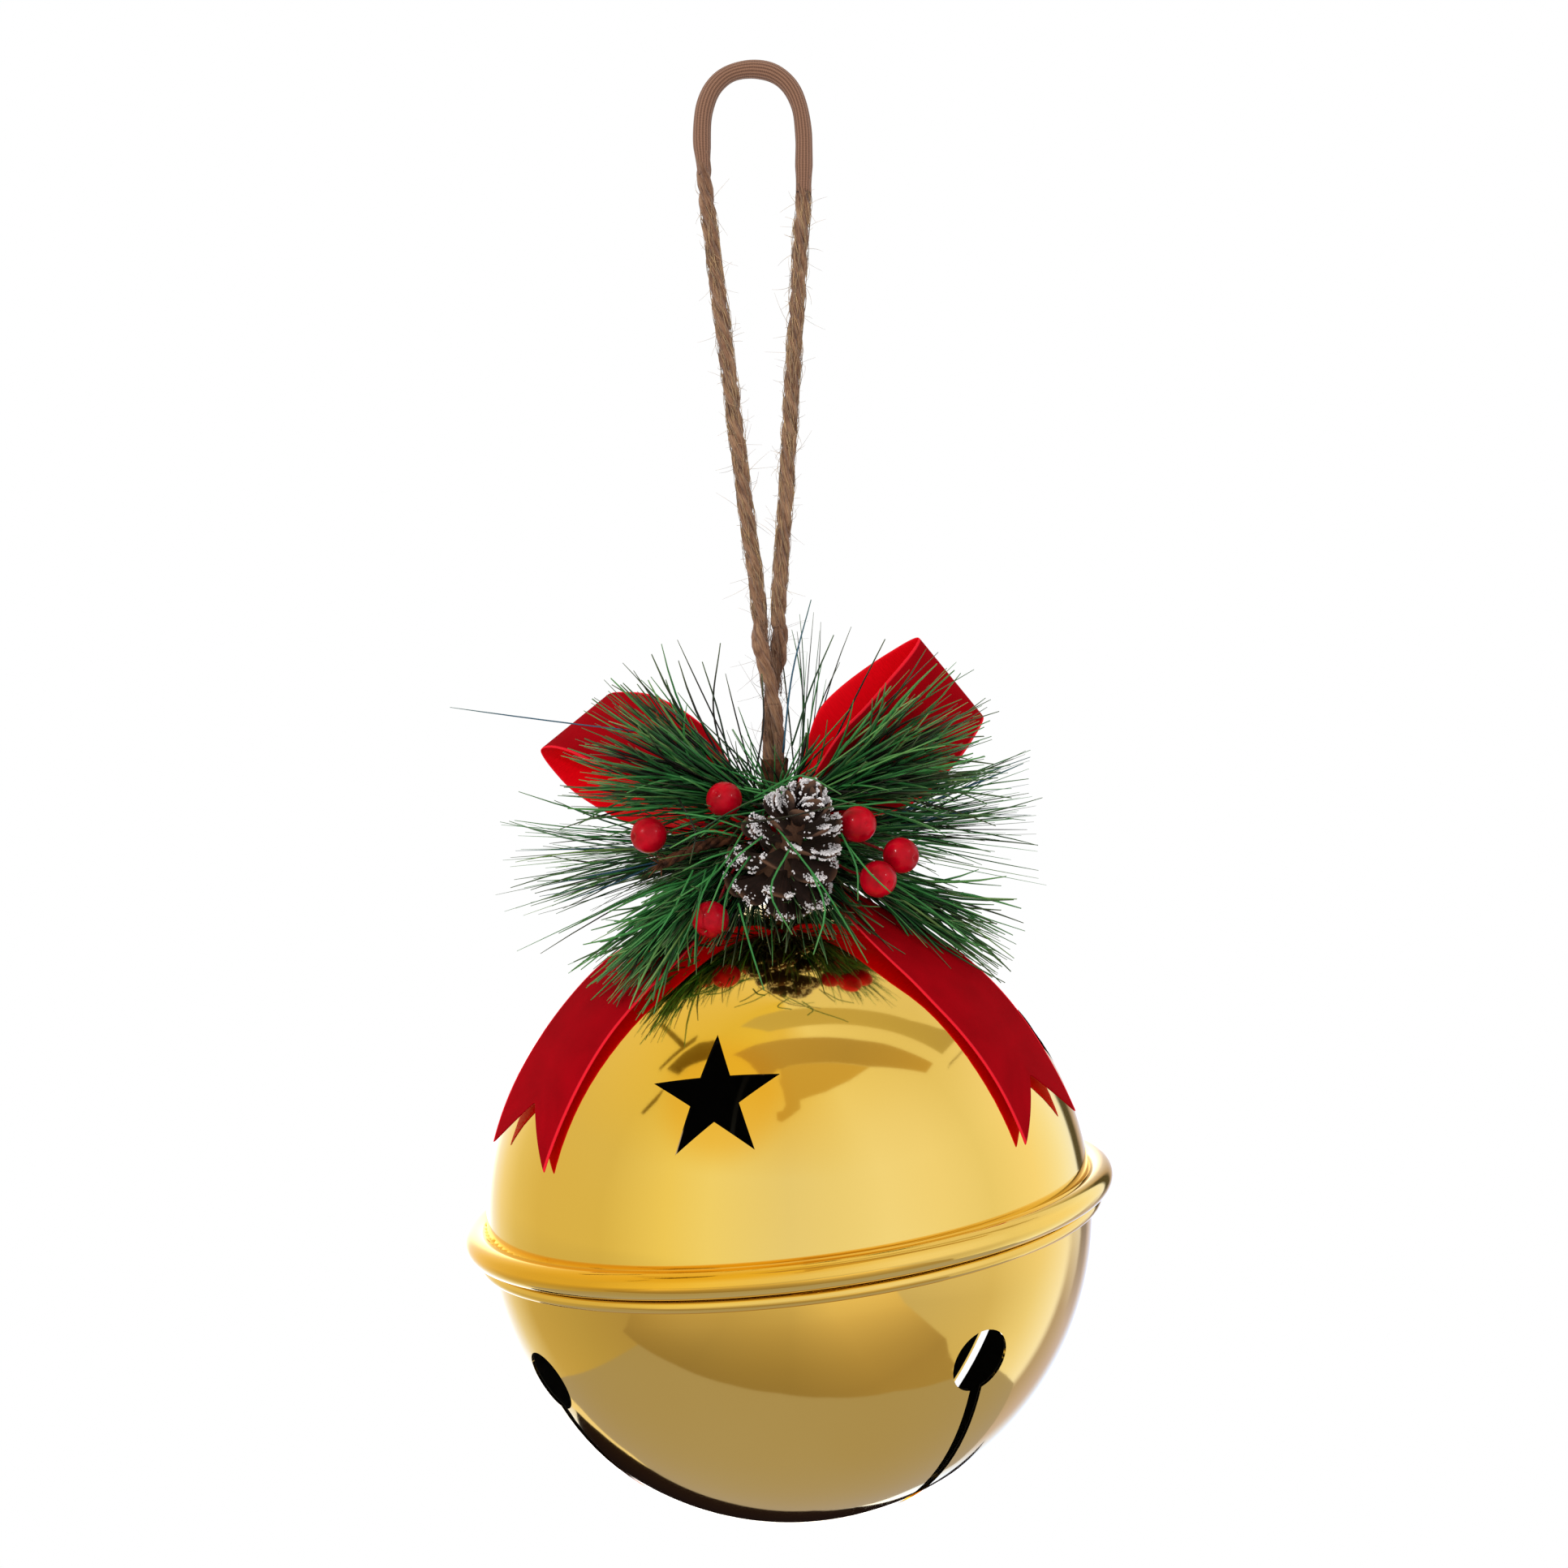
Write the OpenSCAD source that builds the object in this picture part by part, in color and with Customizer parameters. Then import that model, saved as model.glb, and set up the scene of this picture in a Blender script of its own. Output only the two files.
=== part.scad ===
// Hanging Christmas bell: a two-part jingle bell with a loose ball inside, hung by a
// twine loop and dressed with a ribbon bow, pine sprigs, a pine cone and berries.
// Millimetres, +Z up. The origin is the hang point: the inside of the loop's top.

/* [Bell] */
// Outside diameter of the bell's ball-shaped body
bell_d = 200; // [150:1:260]
// Thickness of the bell's sheet metal
sheet_t = 1; // [0.8:0.1:1.6]
// Diameter of the dome's rolled rim
bead_d = 8.4; // [6.5:0.1:10]
// Diameter of the bowl's smaller rolled rim
lip_d = 4.4; // [3.6:0.1:6]
// How far the stars and sound holes are turned from the front
bell_yaw = -11; // [-20:1:20]

/* [Star windows] */
// Distance from a star's centre to its points
star_r = 20; // [12:0.5:24]
// Height of the stars above the rim, as an angle
star_up = 31; // [28:1:40]

/* [Sound holes] */
// Diameter of the round hole at each end of a slot
hole_d = 20; // [12:0.5:26]
// Depth of the round holes below the rim, as an angle
hole_down = 20.5; // [16:0.5:30]
// Width of the crossing slots
slot_w = 4.5; // [4.2:0.1:8]

/* [Hanging eye] */
// Diameter of the eye's steel wire
eye_wire_d = 2.2; // [1.6:0.1:2.6]
// Distance between the eye's two legs
eye_w = 11; // [9:0.5:14]
// Height of the eye above the dome
eye_h = 8; // [7.5:0.5:12]
// Distance of the eye from the dome's middle, which makes the bell lean
eye_offset = 8; // [0:0.5:12]

/* [Jingle ball] */
// Diameter of the loose steel ball
ball_d = 26; // [22:0.5:34]

/* [Twine] */
// Diameter of the jute twine
twine_d = 5.3; // [4:0.1:5.4]
// Length of the doubled twine between the fork and the tape
splice_len = 38; // [34:1:60]
// Diameter of the doubled twine where it goes into the tape
tail_d = 6.6; // [5:0.1:8]
// Wall of the sleeve over the loop's top
sleeve_t = 0.5; // [0.4:0.1:1]

/* [Taped stem] */
// Height of the tape's top above the dome
pick_h = 48; // [46:1:60]
// Length of the tape round the twine
wrap_len = 30; // [24:1:32]
// Wall of the tape
wrap_t = 1; // [0.6:0.1:1.6]
// Diameter of the binding wire
bind_d = 1.8; // [1:0.1:2.4]

/* [Ribbon] */
// Width of the ribbon
ribbon_w = 38; // [25:1:40]
// Thickness of the ribbon
ribbon_t = 1; // [0.8:0.1:1.5]
// Length of the left loop of the bow
loop_left_l = 83; // [70:1:90]
// Length of the right loop of the bow
loop_right_l = 78; // [70:1:90]
// Height of a loop's opening at its widest
loop_open = 23; // [16:1:26]
// Depth of the swallow-tail notch
notch_l = 18; // [10:1:25]
// How far round the dome a tail reaches, as an angle from the bow
tail_reach = 70; // [60:1:76]
// Gap between the tails and the dome
drape_gap = 2.5; // [2:0.1:4]
// Diameter of the bow's tie
tie_d = 12; // [10:0.5:14]

/* [Berries] */
// Diameter of a berry
berry_d = 11.4; // [9:0.2:12]
// Diameter of a berry's wire
berry_wire_d = 1; // [0.8:0.1:1.4]

/* [Pine cone] */
// Width of the cone across its lower scales
cone_w = 37; // [30:1:38]
// Length of the cone
cone_l = 40; // [34:1:42]
// Thickness of a scale
scale_t = 1.6; // [1.2:0.1:2]

/* [Pine sprigs] */
// Diameter of a sprig's wire stem
stem_d = 1.6; // [1.2:0.1:2]
// Diameter of a needle
needle_d = 0.9; // [0.6:0.1:1.2]
// Number of needles on a full sprig
needle_count = 15; // [8:1:20]

/* [Hidden] */
$fn = 96;

// Clearances
seam_gap = 0.1;      // between the two rolled rims, which are pressed together
slip_gap = 0.25;     // round anything that slides or threads through a hole
ball_gap = 0.4;      // between the ball and the bell's inside
swing_gap = 0.6;     // between parts that swing against each other

// Bell, seen from its own middle
bell_r = bell_d / 2;
inner_r = bell_r - sheet_t;
bead_x = bell_r + bead_d / 2 - sheet_t;
bead_z = bead_d / 4;
lip_x = bell_r + lip_d / 2 - sheet_t;
lip_z = bead_z - bead_d / 2 - seam_gap - lip_d / 2;
collar_r = inner_r - slip_gap;
collar_h = 3;
eye_r = eye_w / 2;
eye_reach = bell_r + eye_h - eye_wire_d / 2;
lean = atan(eye_offset / eye_reach);

// Twine route: one leg of the loop from the fork to the top, as [x, z]
LEG = [[2.9, -184], [3.6, -172], [5.4, -155], [7.4, -135], [9.2, -115], [11, -95],
       [13, -75], [14.8, -55], [16.2, -40], [16.8, -29], [17, -19], [15.9, -10],
       [12.8, -3], [7.4, 1.5], [0, 3]];
fork_z = -190;
sleeve_legs = 6;     // the sleeve covers the loop from this many points before the top
twine_sides = 8;

// Levels below the hang point
wrap_z = fork_z - splice_len;
bell_z = wrap_z - pick_h - bell_r;
eye_z = bell_z + norm([eye_offset, eye_reach]);
knot_r = eye_wire_d / 2 + slip_gap + twine_d / 2;
wrap_in_r = tail_d / 2 + swing_gap;
wrap_r = wrap_in_r + wrap_t;

// Places on the decoration are measured from the middle of the tape's top.
// Bow: everything in it starts from the tie, in front of the taped stem
tie_at = [0, -(wrap_r + bind_d + seam_gap + tie_d / 2), -26];
tie_w = 9;
root_d = tie_d / 2 + 2;
left_aim = [159.8, 29.7, 55];     // azimuth, elevation and roll of each loop
right_aim = [1, 40.6, 25];
drape_r = bell_r + drape_gap;
tail_turn = 30;                   // azimuth of the tails, from straight out to the side

// Places round the stem: the cone's base, the berries, and where their wires start
cone_at = [-1, -36, -37];
cone_aim = [-48, 51];
left_berries = [[-40, -38, -23], [-16, -35.5, -12.5], [-21, -49.5, -49.2]];
left_roots = [[-11, -19, -22], [-9, -23, -19], [-9, -25, -29]];
right_berries = [[25.5, -47, -21.5], [38.7, -42, -31.8], [31, -50, -38.5]];
right_roots = [[12, -22, -23], [12, -20, -27], [13, -23, -30]];

// Points along x turned to an azimuth, raised to an elevation and rolled, from a place
module aim(at, az, el, roll = 0)
    translate(at) rotate([0, -el, az]) rotate([roll, 0, 0]) children();

function azimuth(v) = atan2(v[1], v[0]);
function elevation(v) = atan2(v[2], norm([v[0], v[1]]));

// A round rod from one point to another
module rod(a, b, d)
    aim(a, azimuth(b - a), elevation(b - a))
        rotate([0, 90, 0]) cylinder(h = norm(b - a), d = d, $fn = 24);

// Puts a piece of the decoration in its place on the taped stem
module on_stem() translate([0, 0, wrap_z]) children();

// Puts a piece that is built round the bell's own middle and axis in its leaning place
module in_bell() translate([0, 0, bell_z]) rotate([0, -lean, 0]) children();

// Turns x outwards through the bell's wall at a longitude and latitude
module through_wall(lon, lat) rotate([0, 0, lon]) rotate([0, -lat, 0]) children();

module ring_2d(r, t) difference() {
    circle(r = r);
    circle(r = r - t);
}

// A rolled rim in section, open over one quarter
module rolled_rim_2d(x, z, d, open_from) translate([x, z]) difference() {
    ring_2d(d / 2, sheet_t * 0.8);
    rotate(open_from) square(d);
}

module star_2d() polygon([for (i = [0:9])
    star_r * (i % 2 == 0 ? 1 : 0.382) * [sin(i * 36), cos(i * 36)]]);

module dome_section() {
    intersection() {
        ring_2d(bell_r, sheet_t);
        square(bell_d);
    }
    rolled_rim_2d(bead_x, bead_z, bead_d, 180);
}

module bowl_section() {
    intersection() {
        ring_2d(bell_r, sheet_t);
        translate([0, -bell_d - seam_gap]) square(bell_d);
    }
    rolled_rim_2d(lip_x, lip_z, lip_d, 90);
    // the collar that guides the bowl into the dome, and the step that carries it
    translate([collar_r - sheet_t, -collar_h]) square([sheet_t, 2 * collar_h]);
    translate([collar_r - sheet_t, -collar_h - sheet_t])
        square([sheet_t + 2 * slip_gap, sheet_t * 1.5]);
}

module eye_legs(d) for (side = [-1, 1])
    translate([eye_offset, side * eye_r, inner_r - 4])
        cylinder(h = eye_reach - eye_r - inner_r + 4, d = d, $fn = 32);

module upper_dome() color("#e3bd52") in_bell() difference() {
    rotate_extrude($fn = 180) dome_section();
    for (i = [0:3]) through_wall(bell_yaw - 90 + 90 * i, star_up)
        translate([bell_r * 0.9, 0, 0]) rotate([90, 0, 90])
            linear_extrude(bell_r * 0.2) star_2d();
    eye_legs(eye_wire_d + 2 * slip_gap);
}

module lower_bowl() color("#d9b045") in_bell() difference() {
    rotate_extrude($fn = 180) bowl_section();
    for (i = [0:3]) through_wall(bell_yaw - 45 + 90 * i, -hole_down)
        translate([bell_r * 0.9, 0, 0]) rotate([0, 90, 0])
            cylinder(h = bell_r * 0.2, d = hole_d, $fn = 64);
    for (i = [0:1]) rotate([0, 0, bell_yaw - 45 + 90 * i])
        translate([-bell_r, -slot_w / 2, -bell_d])
            cube([bell_d, slot_w, bell_d - bell_r * sin(hole_down)]);
}

module hanging_eye() color("#b8b4aa") in_bell() {
    translate([eye_offset, 0, eye_reach - eye_r]) rotate([90, 0, 90])
        rotate_extrude(angle = 180, $fn = 48)
            translate([eye_r, 0]) circle(d = eye_wire_d, $fn = 32);
    eye_legs(eye_wire_d);
    // feet turned outwards under the dome
    for (side = [-1, 1]) translate([eye_offset, side * eye_r, inner_r - 4]) {
        sphere(d = eye_wire_d, $fn = 32);
        rotate([-90 * side, 0, 0]) cylinder(h = 6, d = eye_wire_d, $fn = 32);
    }
}

module jingle_ball() color("#8c8c90")
    translate([0, 0, bell_z - inner_r + ball_gap + ball_d / 2]) sphere(d = ball_d);

// Twine: the route is mirrored, and a ring of points stands square across it
function mirrored(leg) = concat([for (p = leg) [-p[0], p[1]]],
    [for (i = [len(leg) - 2:-1:0]) leg[i]]);
function unit(v) = v / norm(v);
function along(path, i) =
    unit(path[min(i + 1, len(path) - 1)] - path[max(i - 1, 0)]);
function ring(path, i, r) = [for (k = [0:twine_sides - 1])
    let (a = 360 * k / twine_sides, t = along(path, i))
    [path[i][0] + r * cos(a) * t[1], r * sin(a), path[i][1] - r * cos(a) * t[0]]];
function rings(path, r) = [for (i = [0:len(path) - 1]) each ring(path, i, r)];
// Faces between neighbouring rings, where the first ring starts at point "from"
function skin(count, from, inward) = [for (i = [0:count - 2], k = [0:twine_sides - 1])
    let (a = from + i * twine_sides + k,
         b = from + i * twine_sides + (k + 1) % twine_sides,
         f = [a, b, b + twine_sides, a + twine_sides])
    inward ? [f[3], f[2], f[1], f[0]] : f];

module swept_rod(path, r) {
    last = (len(path) - 1) * twine_sides;
    polyhedron(points = rings(path, r), faces = concat(skin(len(path), 0, false),
        [[for (k = [twine_sides - 1:-1:0]) k]],
        [[for (k = [0:twine_sides - 1]) last + k]]), convexity = 10);
}

module swept_pipe(path, r, t) {
    n = len(path) * twine_sides;
    last = n - twine_sides;
    polyhedron(points = concat(rings(path, r + t), rings(path, r)),
        faces = concat(skin(len(path), 0, false), skin(len(path), n, true),
            [for (k = [0:twine_sides - 1]) let (j = (k + 1) % twine_sides)
                [j, k, n + k, n + j]],
            [for (k = [0:twine_sides - 1]) let (j = (k + 1) % twine_sides)
                [last + k, last + j, n + last + j, n + last + k]]), convexity = 10);
}

module twine_loop() color("#9a7450") swept_rod(mirrored(LEG), twine_d / 2);

module loop_sleeve() color("#8f6450")
    swept_pipe(mirrored([for (i = [len(LEG) - sleeve_legs:len(LEG) - 1]) LEG[i]]),
        twine_d / 2 + 0.1, sleeve_t);

// The two strands laid round each other, as one tapered solid that turns at both ends
module twine_splice() color("#8a6644") {
    translate([0, 0, wrap_z]) {
        sphere(d = tail_d);
        cylinder(h = splice_len, d1 = tail_d, d2 = 2 * twine_d - swing_gap);
    }
    translate([0, 0, fork_z]) sphere(d = 2 * twine_d - swing_gap);
}

module twine_tail() color("#8a6644") {
    bottom = eye_z + knot_r + twine_d / 2 + 0.05;
    translate([0, 0, bottom])
        cylinder(h = wrap_z - tail_d / 2 - swing_gap - bottom, d = tail_d);
}

module twine_knot() color("#7d5a3c") translate([0, 0, eye_z]) rotate([90, 0, 0])
    rotate_extrude($fn = 48) translate([knot_r, 0]) circle(d = twine_d, $fn = 32);

module stem_wrap() color("#5a3a26") translate([0, 0, wrap_z - wrap_len]) difference() {
    cylinder(h = wrap_len, r = wrap_r);
    translate([0, 0, -1]) cylinder(h = wrap_len + 2, r = wrap_in_r);
}

module bind_wire() color("#3a4a34") on_stem() translate([0, 0, tie_at[2] + 4])
    rotate_extrude($fn = 48) translate([wrap_r + seam_gap + bind_d / 2, 0])
        circle(d = bind_d, $fn = 24);

module stem_stub() color("#6b4026") on_stem() rod([-13, -25, -25], [-36, -38, -32], 3.6);

// Ribbon
module bow_tie() color("#b00015") on_stem() translate(tie_at) rotate([0, 90, 0])
    rotate_extrude() {
        translate([0, -tie_w / 2]) square([tie_d / 2 - 1, tie_w]);
        translate([0, 1 - tie_w / 2]) square([tie_d / 2, tie_w - 2]);
        for (side = [-1, 1]) translate([tie_d / 2 - 1, side * (tie_w / 2 - 1)])
            circle(r = 1, $fn = 24);
    }

module loop_2d(l, inset) hull() {
    translate([root_d + 1, 0]) circle(r = max(1.3 - inset, 0.1), $fn = 16);
    translate([l * 0.62, 0]) circle(r = loop_open / 2 - inset, $fn = 48);
    translate([l - 5, 0]) circle(r = 5 - inset, $fn = 32);
}

// A bow loop: ribbon bent round to a teardrop and gathered towards the tie
module bow_loop(l, dir) on_stem() aim(tie_at, dir[0], dir[1], dir[2]) intersection() {
    translate([0, 0, -ribbon_w / 2]) linear_extrude(ribbon_w) difference() {
        loop_2d(l, 0);
        loop_2d(l, ribbon_t);
    }
    rotate([90, 0, 0]) linear_extrude(loop_open + 2, center = true)
        polygon([[root_d - 1, 3], [l * 0.45, ribbon_w / 2], [l + 1, ribbon_w / 2],
                 [l + 1, -ribbon_w / 2], [l * 0.45, -ribbon_w / 2], [root_d - 1, -3]]);
}

module ribbon_loop_left() color("#c00018") bow_loop(loop_left_l, left_aim);
module ribbon_loop_right() color("#c00018") bow_loop(loop_right_l, right_aim);

// A tail: straight from the tie to where it touches the dome, then round the dome.
// The frame stands on the bell's middle, with z through the tie and x along the tail.
module tail() {
    tie_z = wrap_z + tie_at[2] - bell_z;
    start = [tie_d / 2, norm([tie_at[1], tie_z]) - tie_d / 2 - 2];
    straight = sqrt(start * start - drape_r * drape_r);
    touch = atan2(start[0], start[1]) + acos(drape_r / norm(start));
    middle = (touch + tail_reach) / 2;
    translate([0, 0, bell_z])
        rotate([atan(-tie_at[1] / tie_z), 0, 0]) rotate([0, 0, -tail_turn])
            difference() {
        rotate([90, 0, 0]) linear_extrude(ribbon_w, center = true) {
            intersection() {
                ring_2d(drape_r + ribbon_t, ribbon_t);
                polygon([[0, 0], bell_d * [sin(touch), cos(touch)],
                    bell_d * [sin(middle), cos(middle)],
                    bell_d * [sin(tail_reach), cos(tail_reach)]]);
            }
            rotate(-touch) translate([-straight, drape_r]) square([straight, ribbon_t]);
        }
        // gathered towards the tie
        rotate([0, touch, 0]) for (side = [-1, 1])
            translate([-straight, 0, drape_r - 5]) linear_extrude(10)
                polygon([[-1, side * 4.5], [straight * 0.6, side * ribbon_w / 2],
                         [straight * 0.6, side * ribbon_w], [-1, side * ribbon_w]]);
        // the swallow-tail
        rotate([0, tail_reach, 0]) translate([0, 0, bell_r * 0.9])
            linear_extrude(bell_r * 0.3)
                polygon([[-notch_l, 0], [2, ribbon_w / 2 - 1], [2, 1 - ribbon_w / 2]]);
    }
}

module ribbon_tail_left() color("#b00015") mirror([1, 0, 0]) tail();
module ribbon_tail_right() color("#b00015") tail();

// Pine cone: a tapered core with scales set round it at the golden angle
module pine_cone() color("#3a211a") on_stem() aim(cone_at, cone_aim[0], cone_aim[1])
    rotate([0, 90, 0]) {
        cylinder(h = cone_l * 0.8, d1 = cone_w * 0.4, d2 = cone_w * 0.2);
        translate([0, 0, cone_l * 0.8]) sphere(d = cone_w * 0.2, $fn = 32);
        for (i = [0:29]) let (t = i / 29, up = 12 + 62 * t) rotate([0, 0, i * 137.5])
            translate([0, 0, cone_l * (0.06 + 0.62 * t)]) rotate([0, -up, 0])
                rotate([0, 0, -90]) linear_extrude(scale_t) {
                    reach = cone_w * (0.5 - 0.16 * t);
                    translate([-2, 0]) square([4, reach * 0.7]);
                    translate([0, reach * 0.7]) circle(r = reach * 0.3, $fn = 24);
                }
    }

module cone_wire() color("#4a4640") on_stem()
    rod([-1, tie_at[1] - tie_d / 2 - 0.3, -29], [-2, -31, -36], 1.2);

// Berries: a ball drilled for its wire, which comes from a root by the stem
module berry(at, root) color("#b3081c") on_stem() aim(at, azimuth(root - at), elevation(root - at))
    difference() {
        rotate([0, 0, 90]) sphere(d = berry_d, $fn = 64);
        translate([berry_d / 2 - 4, 0, 0]) rotate([0, 90, 0])
            cylinder(h = 6, d = berry_wire_d + slip_gap, $fn = 24);
    }

module berry_wires(berries, roots) color("#8a1018") on_stem() for (i = [0:2])
    rod(roots[i], berries[i] + (berry_d / 2 - 3.7) * unit(roots[i] - berries[i]),
        berry_wire_d);

module berry_1() berry(left_berries[0], left_roots[0]);
module berry_2() berry(left_berries[1], left_roots[1]);
module berry_3() berry(left_berries[2], left_roots[2]);
module berry_4() berry(right_berries[0], right_roots[0]);
module berry_5() berry(right_berries[1], right_roots[1]);
module berry_6() berry(right_berries[2], right_roots[2]);
module berry_wires_left() berry_wires(left_berries, left_roots);
module berry_wires_right() berry_wires(right_berries, right_roots);

// A sprig: a wire stem with needles leaning forward off it all round.
// "rise" and "side" are how far the needles spread up and down, and sideways.
module sprig(base, tip, rise, side, count = needle_count) color("#2f6b38") {
    l = norm(tip - base);
    on_stem() aim(base, azimuth(tip - base), elevation(tip - base)) {
        rotate([0, 90, 0]) cylinder(h = l * 0.6, d = stem_d, $fn = 16);
        for (i = [0:count - 1]) let (s = i / (count - 1), a = i * 137.5)
            translate([l * (0.12 + 0.48 * s), 0, 0])
                rotate([0, rise * (1.1 - 0.7 * s) * sin(a), side * cos(a)])
                    rotate([0, 90, 0]) cylinder(h = l * (0.62 - 0.2 * s), d = needle_d, $fn = 13);
    }
}

module sprig_upper_left() sprig([-7, -20, -15], [-54, -36, 31], 34, 8);
module sprig_left() sprig([-10, -10, -25], [-86, -16, -36], 24, 9);
module sprig_lower_left() sprig([-11, -20, -27], [-64, -52, -60], 20, 10);
module sprig_upper_right() sprig([8, -22, -14], [56, -50, 26], 34, 7);
module sprig_right() sprig([10, -8, -24], [82, -10, -22], 26, 10);
module sprig_lower_right() sprig([11, -19, -28], [76, -28, -58], 18, 10);
module sprig_back_left() sprig([-8, 9, -22], [-52, 58, -28], 22, 26);
module sprig_back_right() sprig([8, 9, -22], [52, 58, -28], 22, 26);
module sprig_crown() sprig([8, 4, -12], [17, 7, 48], 16, 10, 7);

upper_dome();
lower_bowl();
hanging_eye();
jingle_ball();
twine_loop();
loop_sleeve();
twine_splice();
twine_tail();
twine_knot();
stem_wrap();
bind_wire();
stem_stub();
bow_tie();
ribbon_loop_left();
ribbon_loop_right();
ribbon_tail_left();
ribbon_tail_right();
pine_cone();
cone_wire();
berry_1();
berry_2();
berry_3();
berry_4();
berry_5();
berry_6();
berry_wires_left();
berry_wires_right();
sprig_upper_left();
sprig_left();
sprig_lower_left();
sprig_upper_right();
sprig_right();
sprig_lower_right();
sprig_back_left();
sprig_back_right();
sprig_crown();
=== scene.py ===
"""Christmas bell ornament: a gold jingle bell on a twine loop, dressed with a ribbon
bow, pine sprigs, a frosted cone and berries. Sizes are in millimetres where a name
ends in _mm or a list says so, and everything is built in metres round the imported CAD."""

import math
import random

import bmesh
import bpy
from mathutils import Matrix, Quaternion, Vector, noise


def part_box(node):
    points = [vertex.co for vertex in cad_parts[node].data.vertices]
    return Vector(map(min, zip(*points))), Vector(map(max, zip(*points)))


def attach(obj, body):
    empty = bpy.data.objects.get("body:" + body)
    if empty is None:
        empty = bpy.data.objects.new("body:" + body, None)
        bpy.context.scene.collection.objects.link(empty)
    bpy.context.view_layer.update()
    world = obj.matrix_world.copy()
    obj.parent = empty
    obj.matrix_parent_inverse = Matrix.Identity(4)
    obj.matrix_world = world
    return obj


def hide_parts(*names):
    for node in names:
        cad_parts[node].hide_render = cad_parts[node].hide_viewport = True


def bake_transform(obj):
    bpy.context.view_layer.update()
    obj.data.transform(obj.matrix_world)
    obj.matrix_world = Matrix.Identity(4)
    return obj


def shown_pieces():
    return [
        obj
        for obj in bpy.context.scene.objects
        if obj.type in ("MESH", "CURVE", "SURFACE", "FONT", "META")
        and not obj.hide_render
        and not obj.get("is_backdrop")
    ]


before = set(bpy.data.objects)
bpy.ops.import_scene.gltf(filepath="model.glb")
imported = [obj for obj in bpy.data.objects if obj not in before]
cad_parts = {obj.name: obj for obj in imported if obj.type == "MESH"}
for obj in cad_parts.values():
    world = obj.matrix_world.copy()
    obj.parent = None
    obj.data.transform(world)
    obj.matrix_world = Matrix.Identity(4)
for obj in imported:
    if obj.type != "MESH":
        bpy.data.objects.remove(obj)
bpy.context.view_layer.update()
bpy.ops.object.select_all(action="DESELECT")

# ---------------------------------------------------------------- camera
# A level camera in front of the taped stem, turned a little about its own axis.
# White stays pure white and reds stay clear with the Standard view.
def placed(name, data):
    """A new object in the scene."""
    piece = bpy.data.objects.new(name, data)
    bpy.context.scene.collection.objects.link(piece)
    return piece


eye_camera = bpy.data.cameras.new("studio_camera")
eye_camera.sensor_width = 36
eye_camera.lens = 42.53
camera = placed("studio_camera", eye_camera)
camera.location = (0.00304, -0.61956, -0.2363)
camera.rotation_euler = (math.radians(90), math.radians(1.96), 0)
bpy.context.scene.camera = camera
bpy.context.scene.view_settings.view_transform = "Standard"

# ---------------------------------------------------------------- twine loop
# Three jute strands laid left-handed into a 5.3 mm twine, bent into the hanging loop
# whose two legs meet at the fork. Limp, and drawn straight by the bell's weight.
twine_mm = 5.3
loop_leg_mm = [(2.9, -184), (3.6, -172), (5.4, -155), (7.4, -135), (9.2, -115), (11, -95),
    (13, -75), (14.8, -55), (16.2, -40), (16.8, -29), (17, -19), (15.9, -10), (12.8, -3),
    (7.4, 1.5), (0, 3)]


def smooth_route(points, step=0.001):
    """A smooth line through points, as new points about a step apart, in metres."""
    ends = [points[0] * 2 - points[1]] + points + [points[-1] * 2 - points[-2]]
    line = []
    for a, b, c, d in zip(ends, ends[1:], ends[2:], ends[3:]):
        count = max(1, round((c - b).length / step))
        for i in range(count):
            t = i / count
            line.append(0.5 * (2 * b + (c - a) * t + (2 * a - 5 * b + 4 * c - d) * t * t
                + (3 * b - a - 3 * c + d) * t ** 3))
    return line + [points[-1]]


def frames_along(route, closed=False):
    """The direction and two cross directions at each point, carried without twist."""
    last = len(route) - 1
    ahead = []
    for i in range(len(route)):
        before = route[i - 1] if i > 0 else (route[last - 1] if closed else route[0])
        after = route[i + 1] if i < last else (route[1] if closed else route[last])
        ahead.append((after - before).normalized())
    side = Vector((0, 1, 0)) if abs(ahead[0].y) < 0.9 else Vector((1, 0, 0))
    frames = []
    for way in ahead:
        side = (side - way * side.dot(way)).normalized()
        frames.append((way, side.cross(way), side))
    return frames


def mesh_grid(shape, grid, uv_at):
    """Fills rows of points with smooth faces. uv_at gives a row and column's UV place."""
    uv = shape.loops.layers.uv.verify()
    for i in range(len(grid) - 1):
        for k in range(len(grid[0]) - 1):
            spots = ((i, k), (i, k + 1), (i + 1, k + 1), (i + 1, k))
            face = shape.faces.new([grid[row][column] for row, column in spots])
            face.smooth = True
            for loop, spot in zip(face.loops, spots):
                loop[uv].uv = uv_at(*spot)


def swept_tube(shape, route, radius, sides, closed=False, start_mm=0.0):
    """Adds a tube to a bmesh. radius is a number or a function of the point's number
    and the angle; the UV map holds millimetres along and round."""
    grid = []
    frames = frames_along(route, closed)
    for i, (point, (way, right, side)) in enumerate(zip(route, frames)):
        ring = []
        for k in range(sides):
            angle = math.tau * k / sides
            r = radius(i, angle) if callable(radius) else radius
            ring.append(shape.verts.new(point + (right * math.cos(angle)
                + side * math.sin(angle)) * r))
        grid.append(ring)
    if closed:
        for vert in grid.pop():
            shape.verts.remove(vert)
        grid.append(grid[0])
    along = [start_mm]
    for a, b in zip(route, route[1:]):
        along.append(along[-1] + (b - a).length * 1000)
    wide = math.tau * (radius(0, 0) if callable(radius) else radius) * 1000
    closed_rings = [ring + ring[:1] for ring in grid]
    mesh_grid(shape, closed_rings, lambda row, column: (along[row], wide * column / sides))
    if not closed:
        shape.faces.new(grid[0][::-1])
        shape.faces.new(grid[-1])


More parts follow.
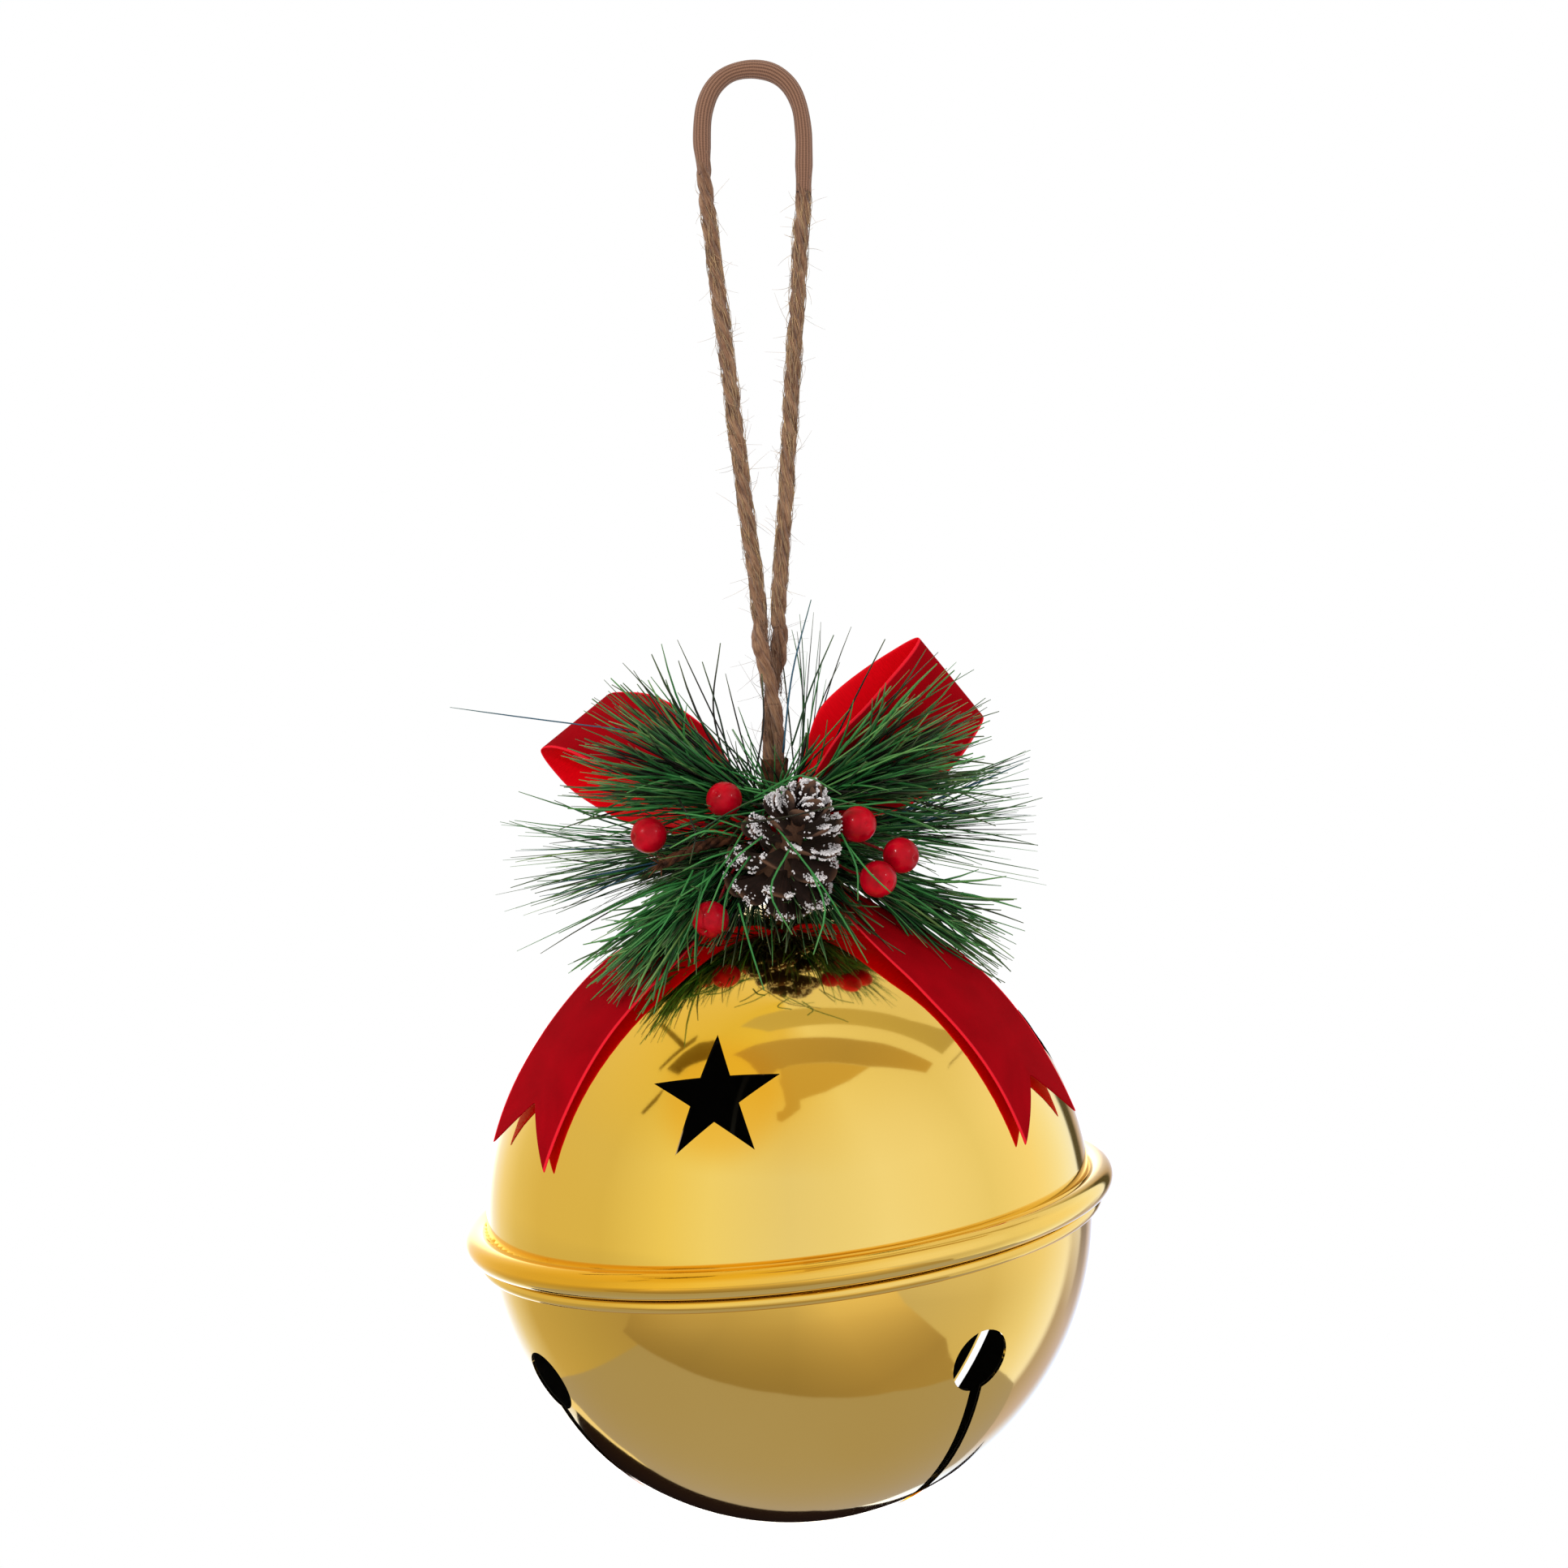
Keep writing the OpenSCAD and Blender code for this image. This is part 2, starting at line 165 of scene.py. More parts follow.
def laid_strands(shape, route, strand_mm, lay_mm, pitch_mm, strands=3, sides=9, scale=None,
        closed=False, phase=0.0):
    """Adds strands laid left-handed round a route. scale thins them along it."""
    frames = frames_along(route, closed)
    far = [0.0]
    for a, b in zip(route, route[1:]):
        far.append(far[-1] + (b - a).length)
    scale = scale or [1.0] * len(route)
    for n in range(strands):
        line = []
        for i, (point, (way, right, side)) in enumerate(zip(route, frames)):
            turn = phase + math.tau * n / strands - math.tau * far[i] * 1000 / pitch_mm
            out = lay_mm * scale[i] / 1000
            line.append(point + (right * math.cos(turn) + side * math.sin(turn)) * out)

        def lumpy(i, angle, line=line, n=n):
            wrap = i % (len(line) - 1) if closed else i
            spot = line[wrap] * 420 + Vector((n * 7.1, math.sin(angle), math.cos(angle)))
            return strand_mm * scale[i] / 1000 * (1 + 0.22 * noise.noise(spot))
        swept_tube(shape, line, lumpy, sides, closed, start_mm=n * 61.7)


def stray_fibres(shape, route, twine_r_mm, count, reach_mm, seed):
    """Adds thin hairs that stand off the twine, each bent once or twice."""
    dice = random.Random(seed)
    frames = frames_along(route)
    for _ in range(count):
        i = dice.randrange(len(route))
        way, right, side = frames[i]
        turn = dice.uniform(0, math.tau)
        out = right * math.cos(turn) + side * math.sin(turn)
        round_ = out.cross(way)
        reach = reach_mm / 1000 * dice.uniform(0.25, 1.0) ** 2 + 0.0008
        lean = dice.uniform(-1.6, 1.6)
        curl = dice.uniform(-1.9, 1.9)
        hair = []
        for k in range(6):
            t = k / 5
            hair.append(route[i] + out * (twine_r_mm / 1000 * 0.86 + reach * t * (1 - 0.35 * t))
                + way * reach * lean * t + round_ * reach * curl * t * t)
        swept_tube(shape, hair, lambda n, a: 0.00008 - 0.000011 * n, 3,
            start_mm=dice.uniform(0, 500))


def lying_fibres(shape, route, twine_r_mm, count, seed):
    """Adds fibres that lie along the twine's skin and lift off it a little."""
    dice = random.Random(seed)
    frames = frames_along(route)
    for _ in range(count):
        i = dice.randrange(len(route) - 9)
        turn = dice.uniform(0, math.tau)
        wind = dice.uniform(-1.3, 0.4)
        rise = dice.uniform(0.1, 0.8) ** 2 / 1000
        hair = []
        for k in range(5):
            t = k / 4
            way, right, side = frames[i + 2 * k]
            out = right * math.cos(turn + wind * t) + side * math.sin(turn + wind * t)
            hair.append(route[i + 2 * k] + out * (twine_r_mm / 1000 * 0.93
                + rise * math.sin(math.pi * t) + 0.5 * rise * t))
        swept_tube(shape, hair, 0.00010, 3, start_mm=dice.uniform(0, 500))


def finished(name, shape, outwards=True):
    """Makes an object of a bmesh, with its faces turned outwards if it is closed."""
    if outwards:
        bmesh.ops.recalc_face_normals(shape, faces=shape.faces)
    mesh = bpy.data.meshes.new(name)
    shape.to_mesh(mesh)
    shape.free()
    return placed(name, mesh)


leg = [Vector((x, 0, z)) / 1000 for x, z in loop_leg_mm]
loop_route = smooth_route([Vector((-p.x, 0, p.z)) for p in leg] + leg[-2::-1])
shape = bmesh.new()
laid_strands(shape, loop_route, strand_mm=1.42, lay_mm=1.24, pitch_mm=26)
twine = finished("twine_loop_laid", shape)
shape = bmesh.new()
for one_leg, seed in ((loop_route[:146], 11), (loop_route[-146:], 12)):
    stray_fibres(shape, one_leg, twine_mm / 2, count=150, reach_mm=6, seed=seed)
    lying_fibres(shape, one_leg, twine_mm / 2, count=420, seed=seed + 20)
twine_fuzz = finished("twine_loop_fibres", shape)


def linear(code):
    """An sRGB hex value as a linear colour."""
    parts = [int(code[i:i + 2], 16) / 255 for i in (1, 3, 5)]
    return [c / 12.92 if c <= 0.04045 else ((c + 0.055) / 1.055) ** 2.4 for c in parts] + [1.0]


def blank_finish(name):
    finish = bpy.data.materials.new(name)
    finish.use_nodes = True
    finish.node_tree.nodes.clear()
    return finish


def add_node(finish, kind, inputs=(), stops=(), **settings):
    """Adds one node. inputs are values or (node, output); stops are a ramp's colours."""
    tree = finish.node_tree
    node = tree.nodes.new("ShaderNode" + kind)
    for key, value in settings.items():
        setattr(node, key, value)
    for key, value in dict(inputs).items():
        if isinstance(value, tuple) and isinstance(value[0], bpy.types.Node):
            tree.links.new(value[0].outputs[value[1]], node.inputs[key])
        else:
            node.inputs[key].default_value = value
    for i, (place, code) in enumerate(stops):
        knots = node.color_ramp.elements
        knot = knots[i] if i < 2 else knots.new(place)
        knot.position = place
        knot.color = linear(code)
    return node


# The next five each give a (node, output) pair that can go straight into another node.
def ramp(finish, source, stops):
    return add_node(finish, "ValToRGB", {"Fac": source}, stops), "Color"


def remap(finish, source, span, onto=(0, 1), **settings):
    """Maps the span of values from low to high onto another one."""
    ends = {1: span[0], 2: span[1], 3: onto[0], 4: onto[1]}
    return add_node(finish, "MapRange", {"Value": source, **ends}, **settings), "Result"


def mixed_colour(finish, share, first, second):
    return add_node(finish, "Mix", {0: share, 6: first, 7: second}, data_type="RGBA"), 2


def speckle(finish, scale, detail, rough=0.5):
    """Noise that is fixed to the piece, with grains about 1/scale metres apart."""
    where = add_node(finish, "TexCoord")
    return add_node(finish, "TexNoise", {"Vector": (where, "Object"), "Scale": scale,
        "Detail": detail, "Roughness": rough}), "Fac"


def bump(finish, height, strength, depth, under=None):
    """Relief of a depth in metres, laid over another bump if there is one."""
    below = {"Normal": under} if under else {}
    return add_node(finish, "Bump", {"Height": height, "Strength": strength, "Distance": depth,
        **below}), "Normal"


def surface(finish, inputs):
    """Ends a finish in its one surface shader."""
    skin = add_node(finish, "BsdfPrincipled", inputs)
    add_node(finish, "OutputMaterial", {"Surface": (skin, "BSDF")})


# Jute: a bast fibre, spun loosely and not dyed. Fibres about 0.3 mm wide and a few
# millimetres long show as light and dark streaks, and it has no gloss at all.
jute = blank_finish("jute_twine_spun")
place = add_node(jute, "UVMap")
lay = add_node(jute, "Mapping", {"Vector": (place, "UV"), "Rotation": (0, 0, math.radians(14)),
    "Scale": (0.22, 2.4, 1)})
fibre = add_node(jute, "TexNoise", {"Vector": (lay, "Vector"), "Scale": 1.0, "Detail": 6.0,
    "Roughness": 0.7, "Distortion": 0.35})
patch = speckle(jute, 160.0, 2.0)
streak = add_node(jute, "Mix", {0: 0.28, 2: (fibre, "Fac"), 3: patch})
tone = ramp(jute, (streak, 0), [(0.30, "#2f1b10"), (0.72, "#c39c78"), (0.42, "#6c4730"),
    (0.51, "#8f684b"), (0.60, "#a57e5e")])
relief = bump(jute, (fibre, "Fac"), 0.9, 0.0005)
surface(jute, {"Base Color": tone, "Roughness": 0.92, "Specular IOR Level": 0.15,
    "Sheen Weight": 0.25, "Sheen Roughness": 0.6, "Normal": relief})
twine.data.materials.append(jute)

# Loose jute fibres: single bast fibres in the light, paler than the twine.
loose_jute = blank_finish("jute_loose_fibre")
place = add_node(loose_jute, "UVMap")
part = add_node(loose_jute, "TexNoise", {"Vector": (place, "UV"), "Scale": 0.13, "Detail": 1.0})
tone = ramp(loose_jute, (part, "Fac"), [(0.35, "#7c6a5e"), (0.65, "#d0ab7c")])
surface(loose_jute, {"Base Color": tone, "Roughness": 0.75, "Specular IOR Level": 0.25})
twine_fuzz.data.materials.append(loose_jute)

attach(twine, "hanger")
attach(twine_fuzz, "hanger")
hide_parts("twine_loop")

# ---------------------------------------------------------------- loop sleeve
# A ribbed knitted tube pulled over the top of the loop where it lies on the hook.
# Its ribs run along the tube, and it narrows a little at both ends.
sleeve_left_mm, sleeve_right_mm = -32, -39
top = [p for p in loop_route if p.z * 1000 > (sleeve_left_mm if p.x < 0 else sleeve_right_mm)]


def ribbed(i, angle):
    end = min(i, len(top) - 1 - i)
    slack = noise.noise(top[i % len(top)] * 95) * 0.00042
    rib = 0.00005 * math.sin(angle * 20)
    return 0.00292 + slack + rib - 0.0006 * max(0, 1 - end / 9)


shape = bmesh.new()
swept_tube(shape, top, ribbed, 60)
sleeve = finished("loop_sleeve_knit", shape)

# Polyester knit: fine ribs 0.8 mm apart, each a row of small dull stitches.
knit = blank_finish("polyester_knit_ribbed")
place = add_node(knit, "UVMap")
ribs = add_node(knit, "TexWave", {"Vector": (place, "UV"), "Scale": 0.40, "Distortion": 0.4,
    "Detail": 1.0}, bands_direction="Y")
rows = add_node(knit, "TexWave", {"Vector": (place, "UV"), "Scale": 0.62, "Distortion": 0.6,
    "Detail": 1.0}, bands_direction="X")
stitch = add_node(knit, "Mix", {0: 0.4, 2: (ribs, "Fac"), 3: (rows, "Fac")})
tone = ramp(knit, (stitch, 0), [(0.1, "#5a3a29"), (0.85, "#9a7058")])
relief = bump(knit, (stitch, 0), 0.7, 0.0003)
surface(knit, {"Base Color": tone, "Roughness": 0.8, "Specular IOR Level": 0.3, "Sheen Weight": 0.2,
    "Normal": relief})
sleeve.data.materials.append(knit)
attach(sleeve, "hanger")
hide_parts("loop_sleeve")

# ---------------------------------------------------------------- doubled twine
# Below the fork the two legs are laid round each other and thin down to the taped
# stem. It is made in two pieces, cut at split_z.
fork_z, split_z, under_tape_z = -0.180, -0.210, -0.240
shape = bmesh.new()
for leg_side in (0, 1):
    line, thin = [], []
    for i in range(61):
        z = fork_z + (under_tape_z - fork_z) * i / 60
        t = min(max((-0.182 - z) / 0.046, 0), 1)
        turn = math.pi * (leg_side - 1) - 3.4 * t ** 1.1
        out = 0.0031 - 0.0014 * t + 0.0008 * math.sin(math.pi * min(1, 2.4 * t))
        line.append(Vector((-out * math.cos(turn), out * math.sin(turn), z)))
        # they start inside the ends of the loop's legs, then swell where they are tucked
        thin.append((1.0 - 0.22 * t + 0.16 * math.sin(math.pi * min(1, 2.4 * t))) * min(1.0,
            0.6 + i * 0.08))
    laid_strands(shape, line, strand_mm=1.55, lay_mm=1.15, pitch_mm=29,
        scale=thin, phase=leg_side * 2.0)
whole_splice = finished("twine_splice_whole", shape)
splice_pieces = []
# radii of the loose fibres in millimetres, and how many of them, for each piece
for name, cut_up, span, stray_r, stray, lying_r, lying in (
        ("twine_splice_high", -1, range(181, 209), 4.0, 60, 3.5, 170),
        ("twine_splice_low", 1, range(211, 228), 3.2, 22, 2.9, 90)):
    shape = bmesh.new()
    shape.from_mesh(whole_splice.data)
    edges = bmesh.ops.bisect_plane(shape, geom=shape.verts[:] + shape.edges[:] + shape.faces[:],
        plane_co=(0, 0, split_z), plane_no=(0, 0, cut_up), clear_outer=True)["geom_cut"]
    bmesh.ops.holes_fill(shape, edges=[e for e in edges if isinstance(e, bmesh.types.BMEdge)])
    core = [Vector((0, 0, -0.001 * z)) for z in span]
    stray_fibres(shape, core, stray_r, count=stray, reach_mm=10, seed=5 + cut_up)
    lying_fibres(shape, core, lying_r, count=lying, seed=40 + cut_up)
    splice_pieces.append(finished(name, shape))
bpy.data.objects.remove(whole_splice)
splice_high, splice_low = splice_pieces
for piece in (splice_high, splice_low):
    piece.data.materials.append(jute)
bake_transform(splice_high)
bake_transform(splice_low)
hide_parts("twine_splice")

# ---------------------------------------------------------------- tail and knot
# The doubled twine goes on inside the tape and ends in a turn knotted round the
# bell's wire eye.
tail_top, tail_foot = -0.238, -0.2625
shape = bmesh.new()
for leg_side in (0, 1):
    line = []
    for i in range(25):
        turn = math.pi * leg_side - 0.11 * i
        line.append(Vector((0.0014 * math.cos(turn), 0.0014 * math.sin(turn),
            tail_top + (tail_foot - tail_top) * i / 24)))
    laid_strands(shape, line, strand_mm=0.92, lay_mm=0.82, pitch_mm=22)
tail = finished("twine_tail_laid", shape)
knot_low, knot_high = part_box("twine_knot")
knot_at = (knot_low + knot_high) / 2
knot_r = (knot_high.x - knot_low.x) / 2 - twine_mm / 2000
shape = bmesh.new()
turn_route = [knot_at + knot_r * Vector((math.cos(a), 0, math.sin(a)))
    for a in (math.tau * i / 48 for i in range(49))]
laid_strands(shape, turn_route, strand_mm=1.3, lay_mm=1.25, pitch_mm=knot_r * math.tau * 1000,
    closed=True)
stray_fibres(shape, turn_route[:-1], 2.5, count=30, reach_mm=4, seed=9)
knot = finished("twine_knot_laid", shape)
for piece, node in ((tail, "twine_tail"), (knot, "twine_knot")):
    piece.data.materials.append(jute)
    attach(piece, "bell")
    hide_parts(node)

# ---------------------------------------------------------------- gold shells
# Two spun steel shells, vacuum-plated gold and lacquered, that meet in a rolled
# bead. The CAD shells stay. Inside they are dull, and painted near-black as painted shade.
bell_at = (0, 0, -0.376)
bell_lean = math.radians(4.28)
star_at = (-0.0181, -0.0849, -0.3261)


def gold_finish(name, bright, deep):
    """Gold plating, a mirror with a faint haze from the lacquer, a painted deeper-gold
    reflection tint, and an inside painted dark as painted shade.
    """
    gold = blank_finish(name)
    where = add_node(gold, "TexCoord")
    out = add_node(gold, "VectorMath", {0: (where, "Object"), 1: bell_at}, operation="DISTANCE")
    # the plating covers the cut edges too, down to 0.8 mm below the outside
    outside = add_node(gold, "Math", {0: (out, "Value"), 1: 0.0992}, operation="GREATER_THAN")
    cloud = speckle(gold, 14.0, 2.0)
    tint = ramp(gold, cloud, [(0.35, bright), (0.7, deep)])
    # painted reflection tint: deeper gold round the star and on top of the rolled bead, stronger on
    # the left
    near = add_node(gold, "VectorMath", {0: (where, "Object"), 1: star_at}, operation="DISTANCE")
    round_star = remap(gold, (near, "Value"), (0.023, 0.012), (0, 0.5),
        interpolation_type="SMOOTHSTEP")
    axis = add_node(gold, "VectorMath", {0: (where, "Object"),
        1: (-math.sin(bell_lean), 0, math.cos(bell_lean))}, operation="DOT_PRODUCT")
    above = remap(gold, (axis, "Value"), (-0.3752, -0.3728))
    beyond = remap(gold, (out, "Value"), (0.1004, 0.1016))
    on_bead = add_node(gold, "Math", {0: above, 1: beyond}, operation="MULTIPLY")
    apart = add_node(gold, "SeparateXYZ", {"Vector": (where, "Object")})
    leftward = remap(gold, (apart, "X"), (0.06, -0.03), (0.1, 0.85))
    on_bead = add_node(gold, "Math", {0: (on_bead, "Value"), 1: leftward}, operation="MULTIPLY")
    # the deeper gold here is a painted reflection tint
    painted_reflection_tint = add_node(gold, "Math", {0: round_star, 1: (on_bead, "Value")}, operation="MAXIMUM")
    deeper = mixed_colour(gold, (painted_reflection_tint, "Value"), tint, linear("#f8bf33"))
    # the inside is painted near-black, as painted shade in the closed bell
    colour = mixed_colour(gold, (outside, "Value"), linear("#0a0706"), deeper)
    fine = speckle(gold, 900.0, 3.0)
    haze = remap(gold, fine, (0, 1), (0.045, 0.085))
    dull = add_node(gold, "Mix", {0: (outside, "Value"), 2: 0.8, 3: haze})
    surface(gold, {"Base Color": colour, "Metallic": (outside, "Value"), "Roughness": (dull, 0),
        "Coat Weight": 0.15, "Coat Roughness": 0.03})
    return gold


for node, bright, deep in (("upper_dome", "#f9d97c", "#f6d470"),
        ("lower_bowl", "#f7d374", "#f4cd68")):
    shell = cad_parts[node]
    shell.data.materials.clear()
    shell.data.materials.append(gold_finish(f"gold_plating_{node}", bright, deep))

# ---------------------------------------------------------------- eye and ball
# A bent steel wire eye holds the knot; a loose steel ball rolls in the bowl and rings.
steel = blank_finish("steel_wire_drawn")
draw = speckle(steel, 1200.0, 4.0)
tone = ramp(steel, draw, [(0.3, "#8e8a80"), (0.7, "#c9c5ba")])
grain = remap(steel, draw, (0, 1), (0.22, 0.42))
relief = bump(steel, draw, 0.3, 0.00005)
surface(steel, {"Base Color": tone, "Metallic": 1.0, "Roughness": grain, "Normal": relief})
for node in ("hanging_eye", "jingle_ball"):
    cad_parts[node].data.materials.clear()
    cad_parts[node].data.materials.append(steel)

# ---------------------------------------------------------------- stem tape
# Brown crepe paper tape wound up the stem in overlapping turns, over the twine and
# the ends of every wire. Its top edge is creased and a little torn.
wrap_low, wrap_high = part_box("stem_wrap")
wrap_r = (wrap_high.x - wrap_low.x) / 2
turns = 6


def choose(piece):
    bpy.ops.object.select_all(action="DESELECT")
    bpy.context.view_layer.objects.active = piece
    piece.select_set(True)


def deselect_and_edit(piece):
    choose(piece)
    bpy.ops.object.mode_set(mode="EDIT")
    bpy.ops.mesh.select_all(action="DESELECT")
    bpy.ops.mesh.select_mode(type="VERT")


def pick(piece, test):
    """In edit mode, selects the points whose place passes a test."""
    cage = bmesh.from_edit_mesh(piece.data)
    for vert in cage.verts:
        vert.select_set(test(vert.co))
    cage.select_flush_mode()
    bmesh.update_edit_mesh(piece.data)


def apply_modifiers(piece):
    choose(piece)
    for modifier in list(piece.modifiers):
        bpy.ops.object.modifier_apply(modifier=modifier.name)


bpy.ops.mesh.primitive_cylinder_add(vertices=48, radius=wrap_r - 0.0004,
    depth=wrap_high.z - wrap_low.z, end_fill_type="NGON", location=(wrap_low + wrap_high) / 2)
tape = bpy.context.object
tape.name = "stem_tape"
bpy.ops.object.transform_apply(location=True, rotation=True, scale=True)
deselect_and_edit(tape)
for edge_z in (wrap_low.z, wrap_high.z):
    pick(tape, lambda co, z=edge_z: abs(co.z - z) < 1e-5)
    bpy.ops.mesh.inset(thickness=0.0012)
pick(tape, lambda co: Vector((co.x, co.y)).length > wrap_r - 0.0006)
bpy.ops.mesh.subdivide(number_cuts=5)
bpy.ops.mesh.select_all(action="SELECT")
bpy.ops.mesh.subdivide(number_cuts=2)
bpy.ops.object.mode_set(mode="OBJECT")
pitch = (wrap_high.z - wrap_low.z) / turns
for vert in tape.data.vertices:
    out = Vector((vert.co.x, vert.co.y, 0))
    if out.length > wrap_r - 0.0007:
        step = ((vert.co.z - wrap_low.z) / pitch + math.atan2(out.y, out.x) / math.tau) % 1
        crease = noise.noise(vert.co * 900) * 0.00018
        vert.co += out.normalized() * (0.0007 * (step - 0.5) + crease)
        if abs(vert.co.z - wrap_high.z) < 1e-5:
            vert.co.z += noise.noise(vert.co * 700) * 0.0012
bpy.ops.object.shade_smooth_by_angle(angle=math.radians(50))

# Crepe paper: matt, with fine creases across the tape about 0.5 mm apart.
crepe = blank_finish("crepe_paper_tape")
creases = speckle(crepe, 1500.0, 4.0, 0.6)
soil = speckle(crepe, 260.0, 3.0)
tone = ramp(crepe, soil, [(0.35, "#2c150c"), (0.68, "#7a4a2e"), (0.5, "#54301d")])
relief = bump(crepe, creases, 0.8, 0.0004)
surface(crepe, {"Base Color": tone, "Roughness": 0.85, "Specular IOR Level": 0.25,
    "Normal": relief})
tape.data.materials.append(crepe)
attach(tape, "bell")
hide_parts("stem_wrap")

# ---------------------------------------------------------------- taped wire stub
# The cut end of one sprig's stem, taped and then frayed, stands out below the left
# berry.
stub_from = Vector((-13, -25, -253)) / 1000
stub_to = Vector((-36, -38, -260)) / 1000
stub_route = smooth_route([stub_from, stub_from.lerp(stub_to, 0.5) + Vector((0, 0, 0.0012)),
    stub_to], 0.0008)
shape = bmesh.new()
laid_strands(shape, stub_route, strand_mm=0.95, lay_mm=0.85, pitch_mm=14, sides=8)
dice = random.Random(21)
for _ in range(46):
    start = stub_route[-1].lerp(stub_route[-8], dice.random())
    bend = Vector((dice.uniform(-1, 0.6), dice.uniform(-1, 0.6), dice.uniform(-1, 1)))
    reach = dice.uniform(0.002, 0.0055)
    hair = [start + (stub_to - stub_from).normalized() * reach * t * 0.7
        + bend * reach * 0.8 * t * t for t in (0, 0.33, 0.66, 1)]
    swept_tube(shape, hair, lambda n, a: 0.00030 - 0.00006 * n, 4)
stub = finished("stem_stub_frayed", shape)
stub.data.materials.append(crepe)
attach(stub, "bell")
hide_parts("stem_stub")

# ---------------------------------------------------------------- binding wires
# Thin annealed wire, wound round the taped stem and twisted to the cone's foot.
annealed = blank_finish("iron_wire_annealed")
scale_marks = speckle(annealed, 900.0, 4.0)
tone = ramp(annealed, scale_marks, [(0.35, "#1d2a1c"), (0.7, "#46503a")])
surface(annealed, {"Base Color": tone, "Metallic": 0.6, "Roughness": 0.55})
for node in ("bind_wire", "cone_wire"):
    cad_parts[node].data.materials.clear()
    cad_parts[node].data.materials.append(annealed)

# ---------------------------------------------------------------- ribbon bow
# A bow of 38 mm single-face velvet ribbon with a satin back: two loops, two tails
# that lie over the dome and end in swallow-tails, and a gathered tie in front.
ribbon_w = 0.038
tie_at = Vector((0, -0.0128, -0.254))


def ribbon_sheet(name, rows, inside, across=20):
    """A ribbon from rows of (middle, width direction, face direction, half width,
    pleat depth, edge lift): one row for each step along it. inside is a place that
    its velvet face looks away from."""
    shape = bmesh.new()
    shape.loops.layers.uv.new("UVMap")
    grid, far = [], 0.0
    lengths = []
    for n, (middle, wide, face, half, pleat, lift) in enumerate(rows):
        if n:
            far += (middle - rows[n - 1][0]).length
        lengths.append(far)
        line = []
        for k in range(across + 1):
            v = 2 * k / across - 1
            fold = pleat * math.sin(v * math.pi * 3.5)
            line.append(shape.verts.new(middle + wide * half * v + face * (fold + lift(v))))
        grid.append(line)
    # the UV map holds millimetres along and across the ribbon
    mesh_grid(shape, grid, lambda row, column: (lengths[row] * 1000,
        (column / across - 0.5) * ribbon_w * 1000))
    shape.normal_update()
    # the velvet face is the one that looks away from the middle of the bow or bell
    if sum(face.normal.dot(face.calc_center_median() - inside) for face in shape.faces) < 0:
        bmesh.ops.reverse_faces(shape, faces=shape.faces)
    return finished(name, shape, outwards=False), far


def turned(azimuth, elevation, roll):
    """x, y and z of a frame turned to an azimuth, raised and rolled, in degrees."""
    turn = (Matrix.Rotation(math.radians(azimuth), 3, "Z") @ Matrix.Rotation(
        math.radians(-elevation), 3, "Y") @ Matrix.Rotation(math.radians(roll), 3, "X"))
    return turn.col[0].copy(), turn.col[1].copy(), turn.col[2].copy()


def smoothly(t):
    t = min(max(t, 0.0), 1.0)
    return t * t * (3 - 2 * t)


def bow_loop(name, length_mm, aim, waves, seed):
    """A loop: out from the tie, round a creased fold, and back, pleated at the tie."""
    out, up, wide = turned(*aim)
    profile = [(4, 0.6), (12, 3.2), (26, 7.6), (length_mm * 0.58, 11.2), (length_mm * 0.8, 8.6),
        (length_mm - 5, 4.4), (length_mm - 0.8, 1.3)]
    line = [Vector((a, b, 0)) for a, b in profile]
    line += [Vector((length_mm, 0, 0))] + [Vector((a, -b, 0)) for a, b in profile[::-1]]
    line = smooth_route(line, 1.6)
    rows = []
    for i, spot in enumerate(line):
        before, after = line[max(i - 1, 0)], line[min(i + 1, len(line) - 1)]
        way = (after - before).normalized()
        face = up * way.x - out * way.y
        reach = smoothly((spot.x - 4) / (length_mm * 0.5))
        half = 0.0042 + (ribbon_w / 2 - 0.0042) * reach
        pleat = 0.0023 * (1 - reach) ** 1.2
        swing = waves * reach * (1 - smoothly((spot.x - length_mm * 0.75) / (length_mm * 0.25)))
        phase = spot.x / 13.0 + seed + (1.4 if spot.y < 0 else 0)

        def lift(v, swing=swing, phase=phase):
            return swing * (abs(v) ** 2.2 * math.sin(phase + (2.2 if v > 0 else 0))
                + 0.35 * math.sin(phase * 0.7) * (1 - v * v))
        rows.append((tie_at + (out * spot.x + up * spot.y) / 1000, wide, face, half, pleat, lift))
    return ribbon_sheet(name, rows, tie_at + out * length_mm * 0.0005)


left_loop, left_len = bow_loop("ribbon_loop_left_velvet", 83, (159.8, 29.7, 55), 0.0022, 0.4)
right_loop, right_len = bow_loop("ribbon_loop_right_velvet", 78, (1, 40.6, 25), 0.0014, 2.0)

# Tails: straight from the tie to the dome, then lying on the dome with a few low
# waves. Each is turned 30 degrees to the front from straight out to the side.
drape_r = 0.1016
notch = 0.018


